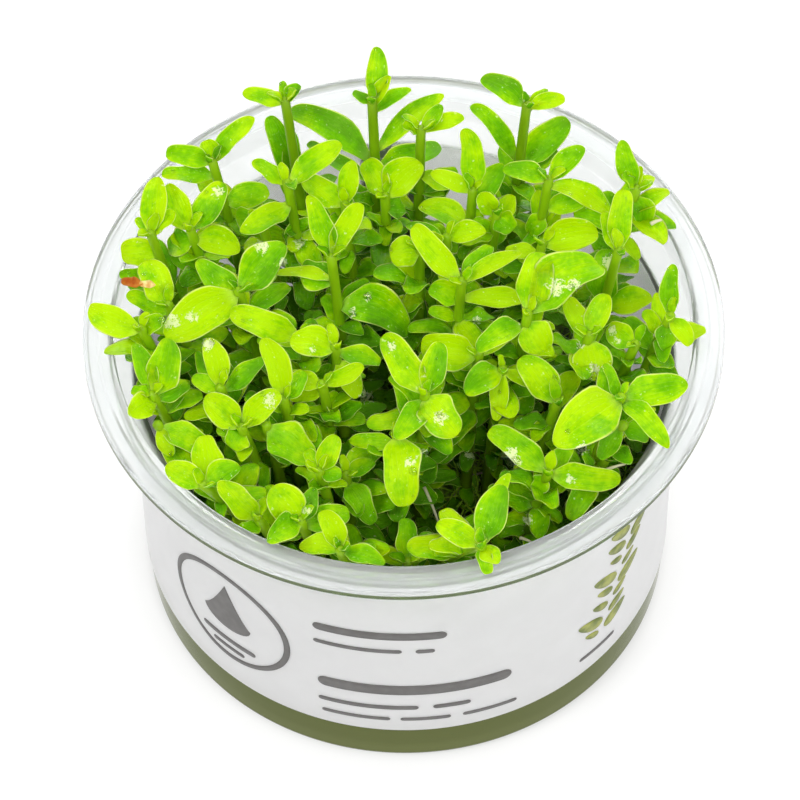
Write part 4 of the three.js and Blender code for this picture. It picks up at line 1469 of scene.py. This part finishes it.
        # Painted shade: leaves sunk low in the cup, at the far side and at the right in front are darkened.
        sunk, far = 1 - smooth(*self.sunk, z), smooth(*self.far, y)
        right = smooth(*self.right, x) * smooth(*self.front, y)
        bud = self.bud_back_shade if blade.length < self.bud_limit else 0.0
        age = self.youngest + by_depth * depth + by_floor_shade * sunk + (by_back_shade + bud) * far + by_right_shade * right
        return float(np.clip(age, 0, 1))

    def vary(self) -> None:
        """Give each leaf its own tone and bends, and how old and how deep in painted shade it looks."""
        draws = Draws(self.look_seed)
        for shoot in self.shoots:
            for blade in shoot.blades:
                blade.age = self.age_and_shade_of(blade, shoot.stem.curve.end[2])
                blade.tone = draws.between()
                blade.wave = draws.between(*self.small_waves) + self.large_wave * draws.between() ** 3
                for name, low, high in self.spreads:
                    setattr(blade, name, draws.between(low, high))

    def build(self) -> None:
        """Grow and make every shoot."""
        self.grow()
        self.fill_in()
        self.vary()
        leaf, stem = LeafFinish().material(), StemFinish().material()
        for shoot in self.shoots:
            shoot.build(leaf, stem)


# Cup, label, gel and roots


class CupPart(IntEnum):
    """The parts of the cup that have a finish of their own, numbered as its material slots."""

    WALL = 0
    FLANGE = 1
    FOOT = 2
    BACKED = 3
    # A dark olive line under the flange's lip: painted shade, with the greens seen through the wall.
    LIP_SHADE_LINE = 4
    LID_SEAT = 5


@dataclass
class Cup:
    """Clear round cup with a foot ring, a lid seat and a flange with a turned-down lip."""

    height: float = 60.0
    flange_radius: float = 50.0
    flange_thickness: float = 1.0
    lip_drop: float = 2.2
    lip_width: float = 0.8
    opening_radius: float = 45.1
    wall: float = 0.8
    wall_top: float = 42.5
    wall_foot: float = 42.2
    seat_low: float = 51.5
    seat_high: float = 54.5
    base_corner: float = 1.5
    foot_inner: float = 36.0
    foot_depth: float = 1.0
    rim_low: float = 50.9
    haze_low: float = 15.0
    seat_reach: float = 46.9
    foot_top: float = 9.2
    groove_high: float = 59.3
    groove_low: float = 58.9
    groove_depth: float = 0.2
    bead_radius: float = 46.6
    bead_height: float = 0.25
    lip_reach: float = 0.5
    lip_slope: float = 0.3
    segments: int = 256

    def wall_radius(self, height: float) -> float:
        """Outer radius of the wall at a height."""
        return self.wall_foot + (self.wall_top - self.wall_foot) * height / self.seat_low

    def profile(self) -> list[tuple[float, float]]:
        """Draw half the cup's section.

        Returns:
            Its (radius, height) points, out along the underside, up the outside and back down the inside.
        """
        seat, under = self.opening_radius + self.wall, self.height - self.flange_thickness
        floor, lip = self.foot_depth + self.wall, self.flange_radius - self.lip_width
        flange, groove = self.height - self.bead_height, self.groove_low + self.groove_depth / 2
        return rounded([
            (0, self.foot_depth, 0), (self.foot_inner, self.foot_depth, 0.4),
            (self.foot_inner + self.foot_depth, 0, 0.3), (self.wall_radius(0), 0, self.base_corner),
            (self.wall_radius(self.foot_top), self.foot_top, 0),
            (self.wall_top, self.seat_low, 0.8), (seat, self.seat_high, 0.8), (seat, under, 0.5),
            (lip, under, 0.35), (lip, self.height - self.lip_drop, 0.15),
            (self.flange_radius, self.height - self.lip_drop, 0.25),
            (self.flange_radius, self.groove_low, 0.05),
            (self.flange_radius - self.groove_depth, groove, 0.05),
            (self.flange_radius, self.groove_high, 0.05), (self.flange_radius, flange, 0.4),
            (self.bead_radius + 1.2, flange, 0.5), (self.bead_radius + 0.8, self.height, 0.3),
            (self.opening_radius, self.height, 0.5),
            (self.opening_radius, self.seat_high + self.wall / 2, 0.6),
            (self.wall_top - self.wall, self.seat_low + self.wall / 2, 0.6),
            (self.wall_radius(self.haze_low) - self.wall, self.haze_low, 0),
            (self.wall_radius(floor) - self.wall, floor, 1.2), (0, floor, 0),
        ], 5)

    def part_of(self, face: bpy.types.MeshPolygon) -> CupPart:
        """Tell which part of the cup a face belongs to, by its place and the way it faces."""
        reach, height = face.center.xy.length / MM, face.center.z / MM
        outward = face.center.xy.dot(face.normal.xy) / (reach * MM)
        low_edge = height < self.groove_low - self.groove_depth and outward > self.lip_slope
        if reach > self.flange_radius - self.lip_reach and low_edge:
            return CupPart.LIP_SHADE_LINE
        if height > self.rim_low:
            in_seat = reach < self.seat_reach and height < self.groove_low
            return CupPart.LID_SEAT if in_seat else CupPart.FLANGE
        if outward < 0 and height > self.haze_low:
            return CupPart.BACKED
        outside = reach > self.wall_radius(0) - self.wall / 2 or height < self.foot_depth / 2
        return CupPart.FOOT if height < self.foot_top and outside else CupPart.WALL

    def build(self) -> None:
        """Make and dress the cup."""
        looks = {
            CupPart.WALL: ClearFinish("clear_plastic", (0.975, 0.982, 0.982), 1.13, 0.03, 0.00004),
            CupPart.FLANGE: ClearFinish("milky_rim", (0.95, 0.98, 0.995), 1.22, 0.03, 0.00004, 0.76, 1.0),
            CupPart.FOOT: ClearFinish("olive_foot", (0.165, 0.19, 0.06), 1.13, 0.06, 0.0, 0.35),
            CupPart.BACKED: ClearFinish("paper_backed_wall", (1.0, 1.0, 0.99), 1.13, 0.05, 0.0, 0.93, 1.0),
            # Painted shade: the lip's low edge is tinted dark olive.
            CupPart.LIP_SHADE_LINE: ClearFinish("lip_shade_line", (0.13, 0.17, 0.07), 1.22, 0.05, 0.0, 0.6),
            CupPart.LID_SEAT: ClearFinish("cloudy_seat", (0.97, 0.985, 0.99), 1.15, 0.05, 0.00004, 0.84, 1.0),
        }
        first, *others = [looks[part].material() for part in CupPart]
        cup = turned("clear_cup", self.profile(), first, self.segments)
        for material in others:
            cup.data.materials.append(material)
        for face in cup.data.polygons:
            face.material_index = int(self.part_of(face))
        fasten(cup, "clear_plastic", "cup")


class Motif(Enum):
    """The plain shapes that the label's print is made of."""

    RING = "ring"
    BAR = "bar"
    DROP = "drop"
    LEAF = "leaf"


@dataclass(frozen=True)
class PrintShape:
    """One shape of the print: its kind, place along the label and up it, size and turn."""

    motif: Motif
    along: float
    height: float
    width: float
    tall: float
    turn: float = 0.0
    green: bool = False
    weight: float = 1.1
    step: float = 0.8

    def strip(self) -> tuple[np.ndarray, np.ndarray]:
        """Draw the shape flat as two edges with matching points.

        Returns:
            The two edges, as rows of (along, height).
        """
        half, rise = self.width / 2, self.tall / 2
        if self.motif is Motif.RING:
            angles = np.linspace(0, TURN, 97)
            outer = np.stack([half * np.cos(angles), rise * np.sin(angles)], -1)
            return outer * (1 - self.weight / half), outer
        count = max(int(self.width / self.step), 16)
        across = -half * np.cos(np.linspace(0, math.pi, count + 1))
        share = across / half
        bulge = np.sqrt(np.clip(1 - share**2, 0, 1))
        if self.motif is Motif.BAR:
            round_off = min(half, rise)
            over = np.clip(np.abs(across) - (half - round_off), 0, round_off)
            high = np.sqrt(round_off**2 - over**2) + rise - round_off
            low = -high
        elif self.motif is Motif.DROP:
            low = -rise * 0.45 * bulge - rise * 0.4
            high = rise * (1.4 * (1 - np.abs(share)) ** 1.35 - 0.4)
        else:
            high = rise * bulge * (1 - 0.3 * share)
            low = -high
        return np.stack([across, low], -1), np.stack([across, high], -1)


@dataclass
class Label:
    """Paper sleeve round the cup's wall with a plain generic print."""

    low: float = 8.75
    high: float = 50.8
    thickness: float = 0.35
    gap: float = 0.15
    overlap: float = 9.0
    lap_start: float = math.pi / 2 - 0.06
    lap_ease: float = 1.6
    lap_gap: float = 0.02
    edge: float = 0.1
    print_height: float = 0.03
    rung: float = 0.9
    cup: Cup = field(default_factory=Cup)

    def radius(self, height: float | np.ndarray) -> float | np.ndarray:
        """Inner radius of the sleeve at a height, or at a row of them."""
        return self.cup.wall_radius(height) + self.gap

    def wrap(self, along: float, height: float, lift: float) -> np.ndarray:
        """Wrap a flat place round the cup.

        Args:
            along: millimetres to the right of the front.
            height: height above the ground.
            lift: how far it stands off the sleeve's outside.

        Returns:
            The point.
        """
        radius = self.radius(height) + self.thickness + lift
        angle = along / (self.cup.wall_foot + self.thickness)
        return np.array([radius * math.sin(angle), -radius * math.cos(angle), height])

    def sleeve(self, material: bpy.types.Material) -> bpy.types.Object:
        """Make the sleeve, with its free end lapped over the other at the back.

        Args:
            material: its finish.

        Returns:
            The closed sleeve.
        """
        draft = Draft()
        turn = TURN + self.overlap / self.cup.wall_foot
        lapped = self.overlap / (turn * self.cup.wall_foot)
        shares = np.linspace(0, 1, 241)
        lap = smooth(1 - self.lap_ease * lapped, 1 - lapped, shares) * (self.thickness + self.lap_gap)
        outside = self.thickness - self.edge / 2
        heights = np.array([
            self.low + self.edge, self.low, self.low, self.low + self.edge,
            *np.linspace(self.low + 4, self.high - 4, 8),
            self.high - self.edge, self.high, self.high, self.high - self.edge])
        lifts = np.array([0, self.edge / 2, outside, *[self.thickness] * 10, outside, self.edge / 2, 0])
        rows = []
        for angle, over in zip(self.lap_start + turn * shares, lap):
            radii = self.radius(heights) + lifts + over
            x, y = radii * math.cos(angle), radii * math.sin(angle)
            rows.append(draft.add_ring(np.stack([x, y, heights], -1)))
        index = draft.add_sheet(rows)
        for end in (index[0, :-1], index[-1, :-1]):
            draft.add_end(end)
        return mend(draft.build("label_sleeve", [material]))

    def shapes(self) -> list[PrintShape]:
        """List the print: a ringed drop, plain bars for words, and a garland of leaves.

        Returns:
            The shapes.
        """
        bars = [
            (-4.5, 36.5, 21.0, 2.0), (-8.0, 32.2, 14.0, 1.0), (2.6, 32.2, 3.0, 1.0),
            (1.0, 20.8, 31.0, 2.7), (-6.5, 15.6, 16.0, 1.1), (6.8, 15.6, 6.0, 1.1),
            (-8.5, 12.2, 11.0, 0.9), (2.6, 12.2, 8.0, 0.9), (13.0, 12.2, 9.0, 0.9), (33.4, 13.0, 8.0, 0.9),
        ]
        found = [PrintShape(Motif.BAR, *bar) for bar in bars]
        found += [
            PrintShape(Motif.RING, -31.0, 26.5, 24.0, 24.0),
            PrintShape(Motif.DROP, -31.0, 28.5, 9.5, 13.0),
            PrintShape(Motif.BAR, -31.0, 19.6, 11.0, 1.2),
            PrintShape(Motif.BAR, -31.0, 17.4, 6.5, 1.0),
        ]
        for step in range(8):
            share = step / 7
            for side in (-1, 1):
                length = 4.6 + 1.5 * math.sin(2.3 * step + side)
                along = 34.0 + 7.0 * share + side * (0.4 + length / 2)
                height = 18.5 + 22.5 * share + 0.5 * side
                turn = math.radians(90 - side * 60)
                found.append(PrintShape(Motif.LEAF, along, height, length, 0.45 * length, turn, True))
        return found

    def printing(self, ink: bpy.types.Material, leaf_ink: bpy.types.Material) -> bpy.types.Object:
        """Make the print as thin raised shapes.

        Args:
            ink: the dark finish.
            leaf_ink: the green finish.

        Returns:
            One object with every shape.
        """
        draft = Draft()
        for shape in self.shapes():
            low, high = shape.strip()
            rungs = max(int(np.abs(high - low).max() / self.rung), 1)
            cosine, sine = math.cos(shape.turn), math.sin(shape.turn)
            turn = np.array([[cosine, sine], [-sine, cosine]])
            layers = []
            for lift in (-self.print_height, self.print_height):
                for share in np.linspace(0, 1, rungs + 1)[::1 if lift < 0 else -1]:
                    flat = (low + (high - low) * share) @ turn
                    points = [self.wrap(shape.along + x, shape.height + y, lift) for x, y in flat]
                    first = draft.add_points(np.array(points))
                    layers.append(np.arange(first, first + len(points)))
            index = draft.add_sheet([*layers, layers[0]], slot=int(shape.green))
            if shape.motif is not Motif.RING:
                for end in (index[:-1, 0], index[:-1, -1]):
                    draft.add_end(end, int(shape.green))
        return mend(draft.build("label_print", [ink, leaf_ink]))

    def build(self) -> None:
        """Make and dress the sleeve and its print."""
        paper = PlainFinish("label_paper", (0.90, 0.90, 0.89), (0.93, 0.93, 0.92), 0.45, 120.0, 0.00001,
                            0.1, 0.95, (1.0, 1.0, 1.0))
        ink = PlainFinish("dark_ink", (0.105, 0.10, 0.095), (0.13, 0.125, 0.12), 0.5, 500.0)
        leaf_ink = PlainFinish("leaf_ink", (0.13, 0.17, 0.02), (0.36, 0.38, 0.08), 0.5, 420.0)
        fasten(self.sleeve(paper.material()), "label_paper", "label")
        fasten(self.printing(ink.material(), leaf_ink.material()), "label_paper")


@dataclass
class Gel:
    """Block of cloudy gel that fills the foot of the cup."""

    low: float = 1.84
    high: float = 14.0
    clearance: float = 0.04
    low_round: float = 1.3
    high_round: float = 0.8
    segments: int = 128
    cup: Cup = field(default_factory=Cup)

    def build(self) -> None:
        """Make and dress the gel."""
        edge = self.cup.wall_foot - self.cup.wall - self.clearance
        profile = rounded([
            (0, self.low, 0), (edge, self.low, self.low_round), (edge, self.high, self.high_round),
            (0, self.high, 0)])
        gel = turned("growth_gel", profile, GelFinish().material(), self.segments)
        fasten(gel, "nutrient_gel", "growth_gel")


class Growth(NodeSheet):
    """A Geometry Nodes tree with named inputs for its sizes."""

    def __init__(self, name: str) -> None:
        """Start a tree that takes and gives geometry.

        Args:
            name: its name.
        """
        super().__init__(bpy.data.node_groups.new(name, "GeometryNodeTree"))
        for way in ("INPUT", "OUTPUT"):
            self.tree.interface.new_socket("Geometry", in_out=way, socket_type="NodeSocketGeometry")
        self.start = self.tree.nodes.new("NodeGroupInput")
        self.end = self.tree.nodes.new("NodeGroupOutput")

    def size(self, name: str, value: float, kind: str = "NodeSocketFloat") -> Signal:
        """Add a named input.

        Args:
            name: its name.
            value: its value.
            kind: its socket type.

        Returns:
            The input inside the tree.
        """
        self.tree.interface.new_socket(name, in_out="INPUT", socket_type=kind).default_value = value
        return Signal(self, self.start.outputs[name])

    def chance(self, low: float, high: float, seed: int) -> Signal:
        """Draw a number for each point, fixed by a seed."""
        limits = {"Min": low, "Max": high, "Seed": seed}
        return self.add("FunctionNodeRandomValue", limits, "Value", data_type="FLOAT")

    def read(self, name: str, kind: str) -> Signal:
        """Read a value of some type kept on the points."""
        return self.add("GeometryNodeInputNamedAttribute", {"Name": name}, "Attribute", data_type=kind)

    def hold_in(self, geometry: Signal, reach: float, low: float) -> Signal:
        """Keep real meshes inside a round wall and above a floor.

        Args:
            geometry: what the tree has made.
            reach: the wall's radius in metres.
            low: the floor's height in metres.

        Returns:
            The moved meshes.
        """
        real = self.add("GeometryNodeRealizeInstances", {"Geometry": geometry})
        x, y, z = self.add("GeometryNodeInputPosition", {}).split()
        flat = self.vector(X=x, Y=y)
        away = self.add("ShaderNodeVectorMath", {0: flat}, "Value", operation="LENGTH")
        kept = self.maths("MINIMUM", self.maths("DIVIDE", reach, away), 1.0)
        drawn = self.add("ShaderNodeVectorMath", {0: flat, "Scale": kept}, operation="SCALE")
        level = self.vector(Z=self.maths("MAXIMUM", z, low))
        place = self.add("ShaderNodeVectorMath", {0: drawn, 1: level}, operation="ADD")
        return self.add("GeometryNodeSetPosition", {"Geometry": real, "Position": place})

    def finish(self, geometry: Signal, material: bpy.types.Material, carrier: bpy.types.Mesh,
               name: str) -> bpy.types.Object:
        """End the tree with real meshes in one finish, run it and keep the result as a plain mesh.

        Args:
            geometry: what the tree has made.
            material: the finish.
            carrier: the mesh that the tree starts from.
            name: the new piece's name.

        Returns:
            The new piece.
        """
        real = self.add("GeometryNodeRealizeInstances", {"Geometry": geometry})
        shaded = self.add("GeometryNodeSetShadeSmooth", {"Geometry": real})
        dressed = self.add("GeometryNodeSetMaterial", {"Geometry": shaded, "Material": material})
        self.join(dressed, self.end.inputs["Geometry"])
        seed = place_object(carrier.name, carrier)
        seed.modifiers.new(name, "NODES").node_group = self.tree
        graph = bpy.context.evaluated_depsgraph_get()
        mesh = bpy.data.meshes.new_from_object(seed.evaluated_get(graph))
        bpy.data.objects.remove(seed)
        mesh.name = name
        return place_object(name, mesh)


@dataclass
class RootMat:
    """Dark mat of roots, moss and old stems on the gel."""

    low: float = 14.3
    high: float = 18.0
    radius: float = 41.1
    rings: int = 26
    segments: int = 96
    sink: float = 0.7
    strand_inset: float = 3.5
    strand_depth: float = 0.9
    strand_sides: int = 5
    strand_bends: int = 7
    strand_lengths: Band = (0.5, 1.35)
    wall_gap: float = 0.5
    strand_floor: float = 2.4

    def surface(self, material: bpy.types.Material) -> bpy.types.Object:
        """Make the bumpy body of the mat.

        Args:
            material: its finish.

        Returns:
            A closed disc with a lumpy top.
        """
        draft = Draft()
        radii = np.linspace(self.radius, 0, self.rings + 1)[:-1]
        rows = []
        for radius, height in [(self.radius, self.low), *((radius, self.high) for radius in radii)]:
            x, y = circle(radius, self.segments)
            lumps = 0.5 * np.sin(x * 0.61 + 1.3) * np.sin(y * 0.53) + 0.35 * np.sin(x * 1.7 + y * 1.1)
            z = height + (lumps - self.sink) * (height > self.low)
            rows.append(draft.add_ring(np.stack([x, y, z], -1)))
        under, over = (draft.add_pole(height, self.segments) for height in (self.low, self.high - self.sink))
        draft.add_sheet([under, *rows, over])
        return mend(draft.build("root_bed", [material]))

    def strands(self, name: str, material: bpy.types.Material, count: int, length: float, rise: float,
                thickness: float, seed: int) -> bpy.types.Object:
        """Scatter curved strands over the mat.

        Args:
            name: the piece's name.
            material: their finish.
            count: how many strands.
            length: their mean length in millimetres.
            rise: how steeply they stand, in radians.
            thickness: their radius in millimetres.
            seed: the number that fixes where they lie.

        Returns:
            One mesh with every strand.
        """
        sheet = Growth(name)
        amount = sheet.size("Count", count, "NodeSocketInt")
        size = sheet.size("Length", length * MM)
        girth = sheet.size("Thickness", thickness * MM)
        spread = sheet.size("Spread", (self.radius - self.strand_inset) * MM)
        lean = sheet.size("Lean", rise)
        angle = sheet.chance(0.0, TURN, seed)
        out = sheet.maths("SQRT", sheet.chance(0.0, 1.0, seed + 1)) * spread
        place = sheet.vector(X=sheet.maths("COSINE", angle) * out, Y=sheet.maths("SINE", angle) * out,
                             Z=(self.high - self.strand_depth) * MM)
        points = sheet.add("GeometryNodePoints", {"Count": amount})
        moved = sheet.add("GeometryNodeSetPosition", {"Geometry": points, "Position": place})
        arc = sheet.add("GeometryNodeCurvePrimitiveBezierSegment", {
            "Resolution": self.strand_bends, "Start": (0, 0, 0), "Start Handle": (0.25, 0.10, 0.30),
            "End Handle": (0.75, -0.2, 0.35), "End": (1.0, 0.05, 0.12)}, mode="POSITION")
        whole = sheet.vector(X=size, Y=size, Z=size)
        grown = sheet.add("GeometryNodeTransform", {"Geometry": arc, "Scale": whole})
        section = {"Resolution": self.strand_sides, "Radius": girth}
        ring = sheet.add("GeometryNodeCurvePrimitiveCircle", section, mode="RADIUS")
        skin = {"Curve": grown, "Profile Curve": ring, "Fill Caps": True}
        tube = sheet.add("GeometryNodeCurveToMesh", skin)
        back = sheet.chance(0.0, 1.0, seed + 2) * lean * -1.0
        turn = sheet.vector(Y=back, Z=sheet.chance(0.0, TURN, seed + 3))
        stretch = sheet.chance(*self.strand_lengths, seed + 4)
        laid = sheet.add("GeometryNodeInstanceOnPoints", {
            "Points": moved, "Instance": tube, "Rotation": turn, "Scale": stretch})
        reach, floor = self.radius - self.wall_gap, self.high - self.strand_floor
        held = sheet.hold_in(laid, reach * MM, floor * MM)
        return sheet.finish(held, material, bpy.data.meshes.new("strand_seed"), name)

    def build(self) -> None:
        """Make and dress the bed, the moss and the pale old roots."""
        dark = PlainFinish("root_bed", (0.09, 0.16, 0.01), (0.22, 0.36, 0.03), 0.6, 420.0, 0.0005)
        moss = PlainFinish("moss", (0.20, 0.42, 0.012), (0.50, 0.74, 0.05), 0.5, 200.0, 0.00003, shine=0.2)
        straw = PlainFinish("straw", (0.42, 0.40, 0.20), (0.60, 0.56, 0.33), 0.55, 260.0, 0.00003)
        fasten(self.surface(dark.material()), "roots", "root_mat")
        fasten(self.strands("moss", moss.material(), 1900, 9.0, 1.2, 0.12, 3), "roots")
        fasten(self.strands("old_roots", straw.material(), 60, 10.0, 0.8, 0.16, 21), "roots")


# Water, debris and the studio


@dataclass
class Droplets:
    """Small water drops that sit on the leaves."""

    listed_size: float = 0.62
    listed_reach: float = 7.0
    scattered_count: int = 90
    scattered_size: Band = (0.12, 0.32)
    scattered_floor: float = 50.0
    # Drops sit only on leaves whose value of age and painted shade is below this.
    age_and_shade_limit: float = 0.75
    flatness: float = 0.5
    lift: float = 0.05
    edge: int = 2
    levelness: float = 0.5
    size_spread: Band = (0.7, 1.1)
    seed: int = 31

    def seats(self, shoots: Sequence[Shoot]) -> tuple[np.ndarray, np.ndarray, np.ndarray]:
        """Choose where the drops sit.

        Args:
            shoots: the grown shoots.

        Returns:
            Places, directions out of the leaf, and radii, a row for each drop.
        """
        sight, draws = Sight(), Draws(self.seed)
        blades = [blade for shoot in shoots for blade in shoot.blades if blade.age < self.age_and_shade_limit]
        grids = [blade.faces_up()[:2] for blade in blades]
        inner = slice(self.edge, -self.edge)
        spots, facing = (
            np.concatenate([grid[part][inner, inner].reshape(-1, 3) for grid in grids]) for part in (0, 1))
        seen = sight.place(spots)
        chosen, radii = [], []
        for across, down in DROP_SPOTS:
            near = np.flatnonzero(np.hypot(seen[:, 0] - across, seen[:, 1] - down) < self.listed_reach)
            if len(near):
                chosen.append(int(near[np.argmax(spots[near] @ sight.back)]))
                radii.append(self.listed_size * draws.between(*self.size_spread))
        level = np.flatnonzero((facing[:, 2] > self.levelness) & (spots[:, 2] > self.scattered_floor))
        for _ in range(self.scattered_count):
            chosen.append(int(level[int(draws.between(0, len(level)))]))
            radii.append(draws.between(*self.scattered_size))
        return spots[chosen], facing[chosen], np.array(radii)

    def build(self, shoots: Sequence[Shoot]) -> None:
        """Make and dress the drops.

        Args:
            shoots: the grown shoots.
        """
        places, normals, radii = self.seats(shoots)
        seats = bpy.data.meshes.new("drop_seats")
        seats.from_pydata(((places + normals * self.lift) * MM).tolist(), [], [])
        seats.attributes.new("facing", "FLOAT_VECTOR", "POINT").data.foreach_set("vector", normals.ravel())
        seats.attributes.new("girth", "FLOAT", "POINT").data.foreach_set("value", radii * MM)
        sheet = Growth("water_drops")
        squash = sheet.vector(X=1.0, Y=1.0, Z=sheet.size("Flatness", self.flatness))
        facing, girth = sheet.read("facing", "FLOAT_VECTOR"), sheet.read("girth", "FLOAT")
        turn = sheet.add("FunctionNodeAlignRotationToVector", {"Vector": facing}, axis="Z")
        ball = sheet.add("GeometryNodeMeshIcoSphere", {"Radius": 1.0, "Subdivisions": 3})
        dome = sheet.add("GeometryNodeTransform", {"Geometry": ball, "Scale": squash})
        laid = sheet.add("GeometryNodeInstanceOnPoints", {
            "Points": Signal(sheet, sheet.start.outputs["Geometry"]), "Instance": dome, "Rotation": turn,
            "Scale": girth})
        water = ClearFinish("water", (1.0, 1.0, 1.0), 1.33, 0.0)
        fasten(sheet.finish(laid, water.material(), seats, "water_drops"), "leaves")


@dataclass
class Debris:
    """A dead leaf in two parts and dry straws caught among the leaves."""

    sight: Sight = field(default_factory=Sight)
    dead_thickness: float = 0.35
    straws: tuple[tuple[float, ...], ...] = (
        (424, 487, 46, 438, 521, 42, 0.3, 1.0), (651, 224, 68.5, 661, 220, 69, 0.35, 0.3),
        (604, 471, 57, 625, 464, 58, 0.3, 0.4), (520, 538, 44, 531, 542, 44, 0.3, 0.3))

    def dead_leaf(self) -> None:
        """Make and dress the dead leaf: a bleached part by its stalk and a brown one at its tip."""
        dead = PlainFinish("dead_leaf", (0.38, 0.075, 0.006), (0.52, 0.18, 0.02), 0.4, 900.0, 0.0002,
                           shine=0.1)
        bleached = PlainFinish("bleached_leaf", (0.84, 0.74, 0.30), (0.66, 0.36, 0.09), 0.4, 900.0, 0.0002,
                               shine=0.1)
        husk = Draft()
        for start, end, width, twist, slot in (((156, 285, 70.4), (139, 284, 70.2), 1.3, 0.0, 1),
                                               ((143, 284, 70.3), (121, 281, 69.4), 1.8, 0.3, 0)):
            Blade(self.sight.point(*start), self.sight.point(*end), width, 0.8, 0.08, wave=0.5, twist=twist,
                  thickness=self.dead_thickness).draw(husk, slot)
        fasten(husk.build("dead_leaf", [dead.material(), bleached.material()]), "leaves")

    def dry_straws(self) -> None:
        """Make and dress the straws, each between two places in the frame at two heights."""
        dry = PlainFinish("dry_straw", (0.50, 0.47, 0.28), (0.70, 0.66, 0.46), 0.55, 300.0, 0.00005)
        draft = Draft()
        for *ends, radius, arch in self.straws:
            first, last = self.sight.point(*ends[:3]), self.sight.point(*ends[3:])
            Stem(Curve(first, (first + last) / 2 + UP * arch, last), radius, 0.4, 7, 9).draw(draft)
        fasten(draft.build("dry_straws", [dry.material()]), "leaves")

    def build(self) -> None:
        """Make and dress the dead leaf and the straws."""
        self.dead_leaf()
        self.dry_straws()


@dataclass
class Studio:
    """White ground, white surroundings and soft lights."""

    ground_size: float = 3.0
    ground_glow: float = 0.64
    foot_shade: Band = (0.036, 0.044)
    world_strength: float = 0.64
    aim: float = 0.05
    lights: tuple[tuple[str, Colour, float, float], ...] = (
        ("key", (-0.45, -0.35, 0.9), 0.22, 3.3), ("back", (0.25, 0.55, 0.7), 0.22, 1.6),
        ("rear", (0.0, 0.5, 0.12), 0.4, 0.9), ("fill", (0.6, -0.5, 0.45), 0.35, 1.4),
        ("front", (0.12, -0.6, 0.88), 0.3, 2.3))

    def lay_ground(self) -> None:
        """Make the ground, which glows except under the cup's foot."""
        sheet = Shading("white_ground")
        away = sheet.add("ShaderNodeVectorMath", {0: sheet.place()}, "Value", operation="LENGTH")
        sheet.fix(Base_Color=(0.36, 0.36, 0.36), Roughness=0.9, Emission_Color=(1, 1, 1),
                  Emission_Strength=away.band(*self.foot_shade) * self.ground_glow)
        half = self.ground_size / 2
        mesh = bpy.data.meshes.new("ground")
        corners = [(-half, -half, 0), (half, -half, 0), (half, half, 0), (-half, half, 0)]
        mesh.from_pydata(corners, [], [(0, 1, 2, 3)])
        mesh.materials.append(sheet.material)
        place_object("ground", mesh)

    def light_up(self) -> None:
        """Make the white surroundings and the square soft lights that face the plant."""
        world = bpy.data.worlds.new("white_room")
        world.use_nodes = True
        room = world.node_tree.nodes["Background"]
        room.inputs["Color"].default_value = (1, 1, 1, 1)
        room.inputs["Strength"].default_value = self.world_strength
        bpy.context.scene.world = world
        bpy.context.scene.view_settings.view_transform = "Standard"
        for name, place, size, power in self.lights:
            lamp = bpy.data.lights.new(name, "AREA")
            lamp.energy, lamp.size = power, size
            facing = (Vector(place) - Vector((0, 0, self.aim))).to_track_quat("Z", "Y").to_matrix().to_4x4()
            place_object(name, lamp).matrix_world = Matrix.Translation(place) @ facing

    def build(self) -> None:
        """Make the ground, the surroundings and the lights."""
        self.lay_ground()
        self.light_up()


def main() -> None:
    """Build the camera, the studio and every piece."""
    logging.basicConfig(level=logging.INFO, format="%(name)s: %(message)s")
    Sight().add_camera()
    Studio().build()
    Cup().build()
    Label().build()
    Gel().build()
    RootMat().build()
    thicket = Thicket()
    thicket.build()
    Droplets().build(thicket.shoots)
    Debris().build()


if __name__ == "__main__":
    main()
